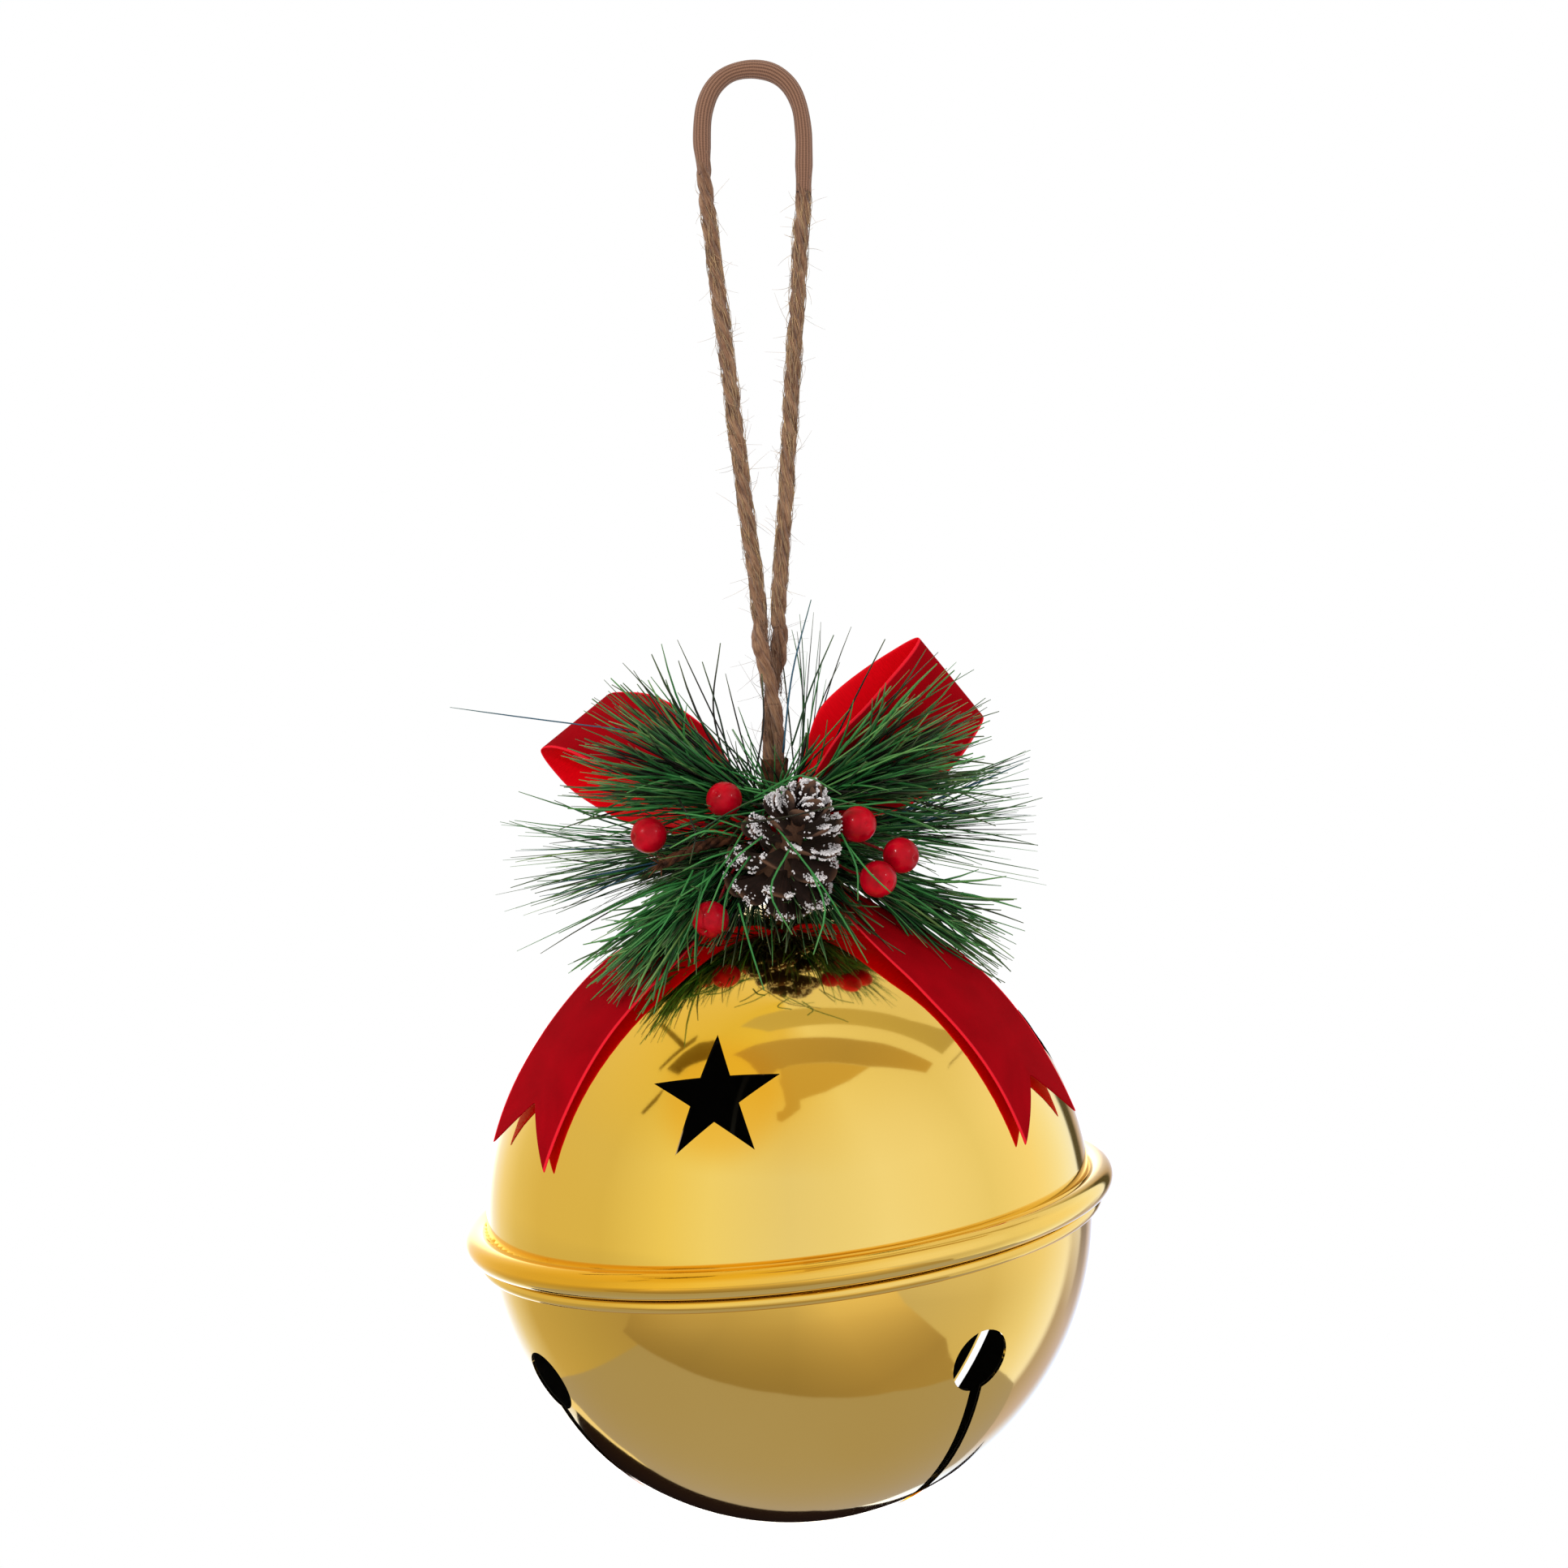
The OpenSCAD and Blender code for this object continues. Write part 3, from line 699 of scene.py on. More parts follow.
def bow_tail(name, mirror, tail_reach, seed):
    tie_z = tie_at.z - bell_at[2]
    start = Vector((0.006, math.hypot(tie_at.y, tie_z) - 0.008))
    straight = math.sqrt(start.length ** 2 - drape_r ** 2)
    touch = math.atan2(start.x, start.y) + math.acos(drape_r / start.length)
    end = math.radians(tail_reach)
    tilt = (Matrix.Translation(bell_at) @ Matrix.Rotation(math.atan(-tie_at.y / tie_z), 4, "X")
        @ Matrix.Rotation(math.radians(-30), 4, "Z"))
    spots = []
    for i in range(12):
        back = straight * (1 - i / 12)
        spots.append((drape_r * math.sin(touch) - back * math.cos(touch),
            drape_r * math.cos(touch) + back * math.sin(touch), touch, -back))
    for i in range(81):
        a = touch + (end - touch) * i / 80
        spots.append((drape_r * math.sin(a), drape_r * math.cos(a), a, drape_r * (a - touch)))
    rows = []
    flip = Matrix.Scale(-1, 4, (1, 0, 0)) if mirror else Matrix.Identity(4)
    whole = flip @ tilt
    for x, z, a, far in spots:
        reach = smoothly((far + straight) / (straight * 0.9 + 0.008))
        half = 0.0045 + (ribbon_w / 2 - 0.0045) * reach
        wave = 0.0005 * reach * math.sin(far * 62 + seed)
        on_dome = smoothly((far + 0.01) / 0.03)

        def lift(v, wave=wave, on_dome=on_dome, far=far):
            # the front edge hugs the dome, the back one stands off and ripples a little
            hug = -(0.0016 if v < 0 else 0.0002) * on_dome * v * v
            ripple = 0.0003 * on_dome * math.sin(far * 95 + seed * 2 + v) * abs(v) ** 3
            return hug + ripple + wave * 0.6 + 0.0002
        spot = whole @ Vector((x, 0, z))
        wide = whole.to_3x3() @ Vector((0, 1, 0))
        face = whole.to_3x3() @ Vector((math.sin(a), 0, math.cos(a)))
        rows.append((spot, wide, face, half, 0.0022 * (1 - reach) ** 1.2, lift))
    piece, far = ribbon_sheet(name, rows, Vector(bell_at), 28)
    # the swallow-tail is cut out of the flat sheet's end by its own UV map
    cage = bmesh.new()
    cage.from_mesh(piece.data)
    uv = cage.loops.layers.uv.active
    last = max(loop[uv].uv.x for face in cage.faces for loop in face.loops)
    moved = set()
    for face in cage.faces:
        for loop in face.loops:
            if loop.vert in moved:
                continue
            moved.add(loop.vert)
            along, side = loop[uv].uv
            from_end = last - along
            # the end line is a V: its depth is the notch in the middle, none at the edge
            cut = notch * 1000 * (1 - abs(side) / (ribbon_w * 500)) ** 1.05
            if from_end < 30:
                squeeze = cut * (1 - from_end / 30)
                index = squeeze / 1000 / drape_r
                spot = whole.inverted() @ loop.vert.co
                spot = Matrix.Rotation(-index, 4, "Y") @ spot
                loop.vert.co = whole @ spot
    cage.to_mesh(piece.data)
    cage.free()
    return piece, far


left_tail, left_tail_len = bow_tail("ribbon_tail_left_velvet", True, 71.0, 0.6)
right_tail, right_tail_len = bow_tail("ribbon_tail_right_velvet", False, 69.0, 2.4)

# The tie: a short length of the same ribbon folded narrow and wrapped over the
# middle of the bow, with its pleats lying across the loops.
rows = []
for i in range(41):
    a = math.tau * i / 40
    face = Vector((0, math.cos(a), math.sin(a)))
    rows.append((tie_at + face * 0.0052, Vector((1, 0, 0)), face, 0.0046, 0.0007, lambda v: 0.0))
tie, tie_len = ribbon_sheet("ribbon_tie_velvet", rows, tie_at, 28)

# Velvet ribbon face: short dense pile that is darker head-on and lighter at the
# edge of a fold, on a woven ground with threads 0.4 mm apart (drawn at 0.5 mm).
velvet = blank_finish("polyester_velvet_ribbon")
place = add_node(velvet, "UVMap")
apart = add_node(velvet, "SeparateXYZ", {"Vector": (place, "UV")})
side = add_node(velvet, "Math", {0: (apart, "Y")}, operation="ABSOLUTE")
# the selvedge is the outer 0.9 mm of the 19 mm half width; it is raised, and its paler red is a
# painted highlight
selvedge_highlight = remap(velvet, (side, "Value"), (17.8, 18.3))
pile = add_node(velvet, "TexNoise", {"Vector": (place, "UV"), "Scale": 1.6, "Detail": 4.0,
    "Roughness": 0.7})
nap = add_node(velvet, "TexNoise", {"Vector": (place, "UV"), "Scale": 0.09, "Detail": 2.0})
both = add_node(velvet, "Mix", {0: 0.55, 2: (pile, "Fac"), 3: (nap, "Fac")})
tone = ramp(velvet, (both, 0), [(0.32, "#8b0009"), (0.68, "#a2000d")])
# paler red along the edge: a painted highlight
colour = mixed_colour(velvet, selvedge_highlight, tone, linear("#e8202e"))
relief = bump(velvet, (pile, "Fac"), 0.25, 0.0002)
edge = bump(velvet, selvedge_highlight, 0.5, 0.0003, relief)
surface(velvet, {"Base Color": colour, "Roughness": 0.85, "Specular IOR Level": 0.03,
    "Sheen Weight": 0.05, "Sheen Roughness": 0.4, "Sheen Tint": linear("#ff1428"), "Normal": edge})

# Satin back: smooth floats of the weft, so it is glossier than the pile. Its
# brighter red is painted light, for light coming through the thin ribbon.
satin = blank_finish("polyester_satin_back_painted_glow")
place = add_node(satin, "UVMap")
floats = add_node(satin, "Mapping", {"Vector": (place, "UV"), "Scale": (3.0, 0.3, 1)})
weft = add_node(satin, "TexNoise", {"Vector": (floats, "Vector"), "Scale": 1.0, "Detail": 3.0})
tone = ramp(satin, (weft, "Fac"), [(0.3, "#d8000f"), (0.7, "#f00418")])
relief = bump(satin, (weft, "Fac"), 0.12, 0.0002)
# a painted glow, in place of the little light that comes through the thin ribbon
surface(satin, {"Base Color": tone, "Roughness": 0.5, "Specular IOR Level": 0.08,
    "Emission Color": linear("#d0000c"), "Emission Strength": 0.12, "Normal": relief})

for piece, node, flat_mm, held in ((left_loop, "ribbon_loop_left", left_len, "folded"),
        (right_loop, "ribbon_loop_right", right_len, "folded"), (left_tail, "ribbon_tail_left",
        left_tail_len, "draped"), (right_tail, "ribbon_tail_right", right_tail_len, "draped"),
        (tie, "bow_tie", tie_len, "gathered")):
    piece.data.materials.append(velvet)
    piece.data.materials.append(satin)
    thick = piece.modifiers.new("ribbon_thickness", "SOLIDIFY")
    thick.thickness = 0.0006
    thick.offset = 0
    thick.material_offset = 1
    fine = piece.modifiers.new("ribbon_smooth", "SUBSURF")
    fine.levels = fine.render_levels = 1
    apply_modifiers(piece)
    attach(piece, "bell")
    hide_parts(node)

# ---------------------------------------------------------------- pine sprigs
# Wire stems with cut green plastic film needles twisted in. Needles are 0.4 to 1.1 mm
# wide, lean forward off the stem, and some droop over the cone and the gold.


def needle_shape(name, bends):
    """One needle a metre long up z, a flattened rod drawn out ring by ring."""
    bpy.ops.object.select_all(action="DESELECT")
    bpy.ops.mesh.primitive_circle_add(vertices=4, radius=0.5, fill_type="NGON", calc_uvs=True)
    needle = bpy.context.object
    needle.name = name
    bpy.ops.object.mode_set(mode="EDIT")
    bpy.ops.transform.resize(value=(1.0, 0.55, 1.0))
    for slide, width in bends:
        bpy.ops.mesh.extrude_region_move(TRANSFORM_OT_translate={"value": (slide, 0,
            1 / len(bends))})
        bpy.ops.transform.resize(value=(width, width, 1))
    bpy.ops.mesh.select_all(action="SELECT")
    bpy.ops.mesh.normals_make_consistent(inside=False)
    bpy.ops.object.mode_set(mode="OBJECT")
    mesh = needle.data
    uv = mesh.uv_layers.active
    for loop in mesh.loops:
        uv.data[loop.index].uv = (0, mesh.vertices[loop.vertex_index].co.z)
    for face in mesh.polygons:
        face.use_smooth = True
    bpy.data.objects.remove(needle)
    return mesh


# Each list is one needle's sideways steps from foot to tip, in widths of the needle,
# since x and y are scaled to its width when it is planted.
needle_widths = (1, 1, 1, 0.95, 0.8, 0.5)
needles = [needle_shape(name, list(zip(slides, needle_widths))) for name, slides in (
    ("needle_curved", (0.4, 1.0, 1.8, 2.6, 3.4, 4.2)),
    ("needle_straight", (0.1, 0.2, 0.4, 0.5, 0.6, 0.7)),
    ("needle_kinked", (0.3, 0.6, 2.6, 1.6, 1.0, 0.6)))]


def planted(shape, mesh, foot, way, length, width, tone, roll):
    """Adds a copy of a modelled part at its foot, pointing its own way."""
    turn = Vector((0, 0, 1)).rotation_difference(way).to_matrix().to_4x4()
    copy = mesh.copy()
    copy.transform(Matrix.Translation(foot) @ turn @ Matrix.Rotation(roll, 4, "Z")
        @ Matrix.Diagonal((width, width, length, 1)))
    uv = copy.uv_layers.active
    for spot in uv.data:
        spot.uv = (tone, spot.uv[1])
    shape.from_mesh(copy)
    bpy.data.meshes.remove(copy)


def sprig(name, base_mm, tip_mm, rise, side, count, seed, wide_mm=(0.65, 1.0), tones=(0.0, 0.95),
        extra=()):
    """A stem with long needles that fan out from its foot. rise and side are how far
    the fan spreads up and down and across, in degrees."""
    dice = random.Random(seed)
    base, tip = Vector(base_mm) / 1000, Vector(tip_mm) / 1000
    length = (tip - base).length
    azimuth = math.degrees(math.atan2(tip.y - base.y, tip.x - base.x))
    elevation = math.degrees(math.asin((tip.z - base.z) / length))
    out, across, up = turned(azimuth, elevation, 0)
    shape = bmesh.new()
    shape.loops.layers.uv.new("UVMap")
    stem = smooth_route([base, base + out * length * 0.2 + up * 0.001, base + out * length * 0.4],
        0.004)
    swept_tube(shape, stem, 0.0008, 6)
    uv = shape.loops.layers.uv.active
    for face in shape.faces:
        for loop in face.loops:
            loop[uv].uv = (0.03, 0.2)
    for _ in range(count):
        s = dice.random() ** 1.3 * 0.42
        a = dice.uniform(0, math.tau)
        spread = dice.random() ** 0.6
        lift = math.radians(rise * spread * math.sin(a))
        swing = math.radians(side * spread * math.cos(a))
        way = (out * math.cos(lift) * math.cos(swing) + up * math.sin(lift)
            + across * math.sin(swing)).normalized()
        reach = length * (1.03 - s) * dice.uniform(0.5, 1.06)
        foot = (base + out * length * s + way * 0.002
            + (up * math.sin(a) + across * math.cos(a)) * 0.0015)
        planted(shape, needles[dice.choice((0, 0, 1, 1, 2))], foot, way, reach,
            dice.uniform(*wide_mm) / 1000, dice.uniform(*tones), dice.uniform(0, math.tau))
    for foot_mm, end_mm, width_mm, tone in extra:
        foot, end = Vector(foot_mm) / 1000, Vector(end_mm) / 1000
        planted(shape, needles[1], foot, (end - foot).normalized(), (end - foot).length,
            width_mm / 1000, tone, 0)
    return finished(name, shape)


# Needle film: cut PVC, dark to mid green, a few with paler tips and a few thin and
# blue-grey where the light comes through. u is each needle's tone, v runs to its tip.
film = blank_finish("pvc_needle_film")
place = add_node(film, "UVMap")
apart = add_node(film, "SeparateXYZ", {"Vector": (place, "UV")})
kind = ramp(film, (apart, "X"), [(0.0, "#14120f"), (1.0, "#31566a"), (0.20, "#0c140c"),
    (0.27, "#12301a"), (0.48, "#1d5429"), (0.68, "#2b7837"), (0.86, "#449049"), (0.94, "#7c9a56"),
    (0.96, "#2b5a72")])
mottle = speckle(film, 420.0, 2.0)
shade = remap(film, mottle, (0, 1), (0.72, 1.25))
deep = add_node(film, "VectorMath", {0: kind, "Scale": shade}, operation="SCALE")
tipped = remap(film, (apart, "Y"), (0.7, 1.0), (0, 0.3))
colour = mixed_colour(film, tipped, (deep, "Vector"), linear("#7f9a5c"))
surface(film, {"Base Color": colour, "Roughness": 0.42, "Specular IOR Level": 0.3})

sprigs = [
    sprig("sprig_upper_left_needles", (-2, -17, -245), (-56, -33, -218), 31, 24, 215, 1,
          (0.7, 1.1),
          extra=[((-42, -26, -218), (-104, -22, -209), 0.45, 0.98),
                 ((-8, -18, -238), (-31, -20, -189), 0.5, 0.05),
                 ((-6, -18, -238), (-16, -16, -200), 0.5, 0.1)]),
    sprig("sprig_left_needles", (-9, -10, -255), (-84, -13, -262), 20, 10, 95, 2,
          (0.42, 0.7), (0.1, 1.0)),
    sprig("sprig_lower_left_needles", (-13, -26, -258), (-51, -55, -295), 13, 13, 190, 3,
          (0.75, 1.05), (0.2, 0.93)),
    sprig("sprig_upper_right_needles", (2, -17, -244), (63, -38, -219), 27, 22, 225, 4,
          (0.7, 1.1)),
    sprig("sprig_right_needles", (9, -9, -253), (81, -11, -247), 18, 10, 95, 5,
          (0.42, 0.7), (0.1, 1.0)),
    sprig("sprig_lower_right_needles", (12, -18, -256), (68, -22, -293), 13, 11, 150, 6,
          (0.7, 1.0), (0.2, 0.95)),
    sprig("sprig_back_left_needles", (-8, 9, -253), (-52, 58, -256), 26, 26, 110, 7),
    sprig("sprig_back_right_needles", (8, 9, -253), (52, 58, -256), 26, 26, 110, 8),
    sprig("sprig_crown_needles", (8, 2, -243), (17, 5, -184), 12, 10, 12, 9,
          (0.4, 0.6))]


def needle_spray(name, count, seed, z_mm, lift, reach_mm, off_mm, tones):
    """Loose needles that stick out all round the stem."""
    dice = random.Random(seed)
    shape = bmesh.new()
    shape.loops.layers.uv.new("UVMap")
    for _ in range(count):
        around = dice.uniform(0, 360)
        up = math.radians(dice.uniform(*lift))
        flat = Vector((math.cos(math.radians(around)), math.sin(math.radians(around)), 0))
        way = flat * math.cos(up) + Vector((0, 0, math.sin(up)))
        foot = Vector((0, 0, dice.uniform(*z_mm) / 1000)) + flat * dice.uniform(*off_mm) / 1000
        planted(shape, needles[dice.choice((0, 0, 1, 2))], foot, way, dice.uniform(*reach_mm)
            / 1000, dice.uniform(0.0006, 0.00095), dice.uniform(*tones), dice.uniform(0, math.tau))
    return finished(name, shape)


sprigs += [
    # the inner ends of all the sprigs, which close over the tape and the tie
    needle_spray("needles_round_tape", 330, 41, (-256, -240), (-24, 17), (22, 50), (4, 12),
                 (0.0, 0.9)),
    # short ones that fan up round the foot of the twine and hide the top of the tape
    needle_spray("needles_over_tape", 130, 45, (-247, -239), (10, 50), (16, 38), (3, 8),
                 (0.1, 0.92)),
    # bundles that close the gaps under the cone, in front of the knot, kept to the darker tones as
    # painted shade
    sprig("needles_under_left", (-3, -12, -256), (-24, -50, -284), 12, 30, 120, 43,
          (0.6, 0.95), (0.0, 0.62)),
    sprig("needles_under_right", (3, -12, -256), (20, -52, -283), 11, 30, 110, 44,
          (0.6, 0.95), (0.0, 0.62)),
    # needles under the cone, which hang over the top of the dome, kept to the darker tones as
    # painted shade
    needle_spray("needles_under_cone", 460, 42, (-259, -252), (-33, -3), (26, 45), (4, 10),
                 (0.0, 0.6))]

# Single long needles: some stand up by the twine, and some droop over the cone and
# the gold. Each is its foot, its middle and its tip, and its tone.
lone_needles_mm = [
    ((-14, -20, -235), (-19, -20, -212), (-16, -20, -190), 0.06),
    ((-13, -22, -236), (-17, -22, -214), (-22, -22, -196), 0.25),
    ((-6, -14, -232), (-3, -14, -216), (-3, -14, -200), 0.02),
    ((3, -10, -226), (7, -10, -200), (14, -10, -176), 0.97),
    ((6, -12, -224), (13, -12, -205), (21, -12, -188), 0.35),
    ((14, -22, -234), (26, -24, -211), (37, -26, -191), 0.10),
    ((4, -64, -256), (-2, -69, -268), (4, -70, -281), 0.72),
    ((10, -66, -262), (14, -70, -274), (10, -72, -287), 0.80),
    ((-2, -60, -246), (14, -70, -268), (26, -72, -290), 0.68),
    ((-8, -56, -258), (-15, -62, -268), (-17, -64, -280), 0.62),
    ((-4, -58, -252), (-14, -64, -260), (-21, -66, -274), 0.75),
    ((-12, -58, -272), (-9, -62, -284), (-5, -64, -298), 0.70),
    ((-12, -54, -248), (4, -68, -246), (24, -70, -242), 0.05),
    ((-6, -56, -240), (8, -68, -234), (20, -66, -240), 0.66),
    ((22, -58, -256), (28, -62, -264), (34, -62, -270), 0.78),
    ((20, -56, -252), (24, -62, -262), (24, -64, -272), 0.64),
    ((-22, -48, -262), (-26, -54, -276), (-34, -56, -292), 0.58),
    ((-26, -46, -262), (-33, -52, -275), (-44, -54, -290), 0.74),
    ((-18, -50, -260), (-24, -56, -272), (-26, -58, -290), 0.66),
    # across the top of the tape and over the left berry
    ((-34, -34, -250), (-12, -36, -243), (6, -34, -237), 0.72),
    ((-28, -36, -246), (-8, -38, -245), (14, -36, -240), 0.60),
    ((-20, -34, -239), (0, -36, -243), (24, -36, -241), 0.20),
    ((-16, -32, -236), (2, -35, -241), (16, -38, -248), 0.80),
    ((34, -36, -246), (16, -38, -241), (-3, -34, -238), 0.68),
    ((30, -36, -240), (12, -36, -239), (-8, -32, -243), 0.10),
    ((38, -38, -243), (20, -40, -244), (2, -36, -243), 0.78),
    ((12, -24, -243), (-4, -24, -236), (-31, -26, -224), 0.70),
    ((-10, -24, -243), (6, -24, -235), (31, -26, -222), 0.66),
    ((5, -22, -242), (-5, -22, -233), (-23, -24, -215), 0.28),
    ((-4, -22, -241), (7, -22, -232), (25, -24, -213), 0.76),
    ((10, -26, -241), (-10, -26, -237), (-37, -26, -233), 0.82),
    ((-8, -26, -240), (10, -26, -236), (35, -28, -231), 0.22),
    ((14, -26, -237), (0, -24, -236), (-17, -22, -229), 0.60),
    ((-3, -22, -244), (3, -20, -235), (11, -20, -220), 0.62),
    ((3, -22, -244), (-4, -20, -234), (-13, -20, -218), 0.72),
    ((-31, -42, -244), (-20, -46, -246), (-9, -46, -250), 0.74),
    ((-28, -44, -253), (-17, -47, -246), (-7, -44, -241), 0.30),
    ((-12, -44, -252), (-22, -48, -250), (-33, -46, -255), 0.82),
    ((-11, -46, -256), (-20, -50, -258), (-29, -48, -262), 0.70),
    ((-30, -40, -240), (-25, -45, -250), (-27, -46, -260), 0.15),
    ((-9, -46, -249), (-18, -50, -262), (-32, -52, -271), 0.76)]
shape = bmesh.new()
shape.loops.layers.uv.new("UVMap")
uv = shape.loops.layers.uv.active
for *points_mm, tone in lone_needles_mm:
    start = len(shape.faces)
    route = smooth_route([Vector(p) / 1000 for p in points_mm], 0.004)
    swept_tube(shape, route, lambda i, a, n=len(route): 0.00034 * (1 - 0.6 * (i / n) ** 3), 5)
    shape.faces.ensure_lookup_table()
    low, high = route[0], route[-1]
    for face in shape.faces[start:]:
        for loop in face.loops:
            far = (loop.vert.co - low).length / (high - low).length
            loop[uv].uv = (tone, min(far, 1.0))
sprigs.append(finished("needles_single_long", shape))
for piece in sprigs:
    piece.data.materials.append(film)
    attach(piece, "bell")
    if piece.name.startswith("sprig"):
        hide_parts(piece.name.replace("_needles", ""))

# ---------------------------------------------------------------- pine cone
# A real open cone, dried and dark, with woody scales set at the golden angle. White
# flock is glued to the scale tips, thickest at the cone's top.
cone_at = Vector((-1, -37, -267)) / 1000
cone_out, cone_side, cone_up = turned(-62, 48, 0)
cone_turn = Matrix((cone_up, cone_side, cone_out)).transposed()


def cone_scale():
    """One scale, a metre long along x and a metre wide: a plank drawn out, spread at
    its tip, curled up and rounded, then softened by subdivision."""
    bpy.ops.object.select_all(action="DESELECT")
    bpy.ops.mesh.primitive_cube_add(size=1, calc_uvs=True)
    scale = bpy.context.object
    scale.name = "cone_scale"
    bpy.ops.object.mode_set(mode="EDIT")
    bpy.ops.mesh.select_mode(type="VERT")
    bpy.ops.transform.resize(value=(0.3, 0.34, 0.10))
    bpy.ops.transform.translate(value=(0.15, 0, 0))
    far = 0.30
    for step, rise, wide, thick in ((0.22, 0.01, 1.7, 1.0), (0.2, 0.04, 1.5, 1.0),
            (0.16, 0.07, 0.98, 1.3), (0.12, 0.07, 0.55, 0.8)):
        pick(scale, lambda co, x=far: co.x > x - 0.01)
        far += step
        bpy.ops.mesh.extrude_region_move(TRANSFORM_OT_translate={"value": (step, 0, rise)})
        bpy.ops.transform.resize(value=(1, wide, thick))
    bpy.ops.mesh.select_all(action="SELECT")
    bpy.ops.mesh.normals_make_consistent(inside=False)
    bpy.ops.object.mode_set(mode="OBJECT")
    soft = scale.modifiers.new("scale_soft", "SUBSURF")
    soft.levels = soft.render_levels = 2
    apply_modifiers(scale)
    mesh = scale.data
    for face in mesh.polygons:
        face.use_smooth = True
    for loop in mesh.loops:
        spot = mesh.vertices[loop.vertex_index].co
        mesh.uv_layers.active.data[loop.index].uv = (spot.x, spot.y)
    bpy.data.objects.remove(scale)
    return mesh


scale_mesh = cone_scale()
shape = bmesh.new()
shape.loops.layers.uv.new("UVMap")
core = [cone_at + cone_out * 0.001 * t for t in range(0, 31, 2)]
swept_tube(shape, core, lambda i, a: 0.0068 - 0.0054 * i / 15, 14)
tips = []
dice = random.Random(31)
scale_count = 44
for i in range(scale_count):
    t = i / (scale_count - 1)
    around = math.radians(137.508 * i)
    # a scale's tilt from straight out: open at the foot, closing towards the tip
    tilt = math.radians(-26 + 104 * t ** 1.5 + dice.uniform(-4, 4))
    along = 0.002 + 0.0285 * t
    reach = 0.0182 * (1 - 0.46 * t ** 1.6) * dice.uniform(0.93, 1.05) * (0.8 + 0.2 * min(1, t * 6))
    wide = 0.0150 * (1 - 0.5 * t)
    place = (Matrix.Translation(cone_at) @ cone_turn.to_4x4() @ Matrix.Rotation(around, 4, "Z")
        @ Matrix.Translation((0, 0, along)) @ Matrix.Rotation(-tilt, 4, "Y")
        @ Matrix.Translation((0.001, 0, 0)) @ Matrix.Rotation(dice.uniform(-0.12, 0.12), 4, "X")
        @ Matrix.Diagonal((reach, wide, 0.0125, 1)))
    copy = scale_mesh.copy()
    copy.transform(place)
    shape.from_mesh(copy)
    bpy.data.meshes.remove(copy)
    tips.append((place, t))
cone = finished("pine_cone_scales", shape)

# Cone wood: dark brown, matt, with lines along each scale and a paler worn rim.
wood = blank_finish("pine_cone_wood")
place = add_node(wood, "UVMap")
apart = add_node(wood, "SeparateXYZ", {"Vector": (place, "UV")})
lines = add_node(wood, "Mapping", {"Vector": (place, "UV"), "Scale": (2.0, 26.0, 1)})
grain = add_node(wood, "TexNoise", {"Vector": (lines, "Vector"), "Scale": 1.0, "Detail": 4.0})
blotch = speckle(wood, 300.0, 4.0)
mixed = add_node(wood, "Mix", {0: 0.5, 2: (grain, "Fac"), 3: blotch})
dark = ramp(wood, (mixed, 0), [(0.3, "#150b08"), (0.7, "#3c241b"), (0.5, "#271610")])
rim = remap(wood, (apart, "X"), (0.86, 1.0), (0, 0.75))
colour = mixed_colour(wood, rim, dark, linear("#6a4630"))
relief = bump(wood, (mixed, 0), 0.6, 0.0004)
surface(wood, {"Base Color": colour, "Roughness": 0.7, "Specular IOR Level": 0.35,
    "Normal": relief})
cone.data.materials.append(wood)
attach(cone, "bell")
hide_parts("pine_cone")

# ---------------------------------------------------------------- cone frost
# Crumbs of white flock and glue on the scale tips, each crumb 0.3 to 1.3 mm.
bpy.ops.object.select_all(action="DESELECT")
bpy.ops.mesh.primitive_ico_sphere_add(subdivisions=1, radius=1, calc_uvs=True)
crumb_object = bpy.context.object
bpy.ops.object.mode_set(mode="EDIT")
bpy.ops.transform.resize(value=(1.0, 0.8, 0.62))
pick(crumb_object, lambda co: co.x > 0.4)
bpy.ops.transform.translate(value=(0.25, 0.1, 0.2))
bpy.ops.object.mode_set(mode="OBJECT")
crumb = crumb_object.data
bpy.data.objects.remove(crumb_object)
shape = bmesh.new()
shape.loops.layers.uv.new("UVMap")
for place, t in tips:
    lots = int(80 + 230 * t)
    for _ in range(lots):
        v = dice.uniform(-0.5, 0.5)
        if noise.noise(place.translation * 700 + Vector((3 * v, t * 9, 0))) < -0.05:
            continue
        rim_x = 0.96 - 0.55 * abs(v) ** 2.4
        back = abs(dice.gauss(0, 0.05 + 0.16 * t))
        top = dice.choice((-1, 1, 1, 1))
        spot = place @ Vector((rim_x - back + 0.05, v * 0.86, 0.16 + 0.07 * top - 0.14 * back))
        size = dice.uniform(0.00018, 0.00050) * (0.9 + 0.3 * t)
        copy = crumb.copy()
        turn = Quaternion((dice.gauss(0, 1), dice.gauss(0, 1), dice.gauss(0, 1),
            dice.gauss(0, 1))).normalized()
        copy.transform(Matrix.Translation(spot) @ turn.to_matrix().to_4x4() @ Matrix.Scale(size, 4))
        shape.from_mesh(copy)
        bpy.data.meshes.remove(copy)
frost = finished("pine_cone_frost", shape)

# Flock: fine white fibre crumbs in clear glue, bright and quite matt.
flock = blank_finish("white_flock_crumbs")
crumbs = speckle(flock, 1600.0, 3.0)
tone = ramp(flock, crumbs, [(0.3, "#b9aeae"), (0.62, "#f4f1f2")])
relief = bump(flock, crumbs, 0.6, 0.0003)
surface(flock, {"Base Color": tone, "Roughness": 0.8, "Specular IOR Level": 0.4,
    "Sheen Weight": 0.3, "Normal": relief})
frost.data.materials.append(flock)
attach(frost, "bell")

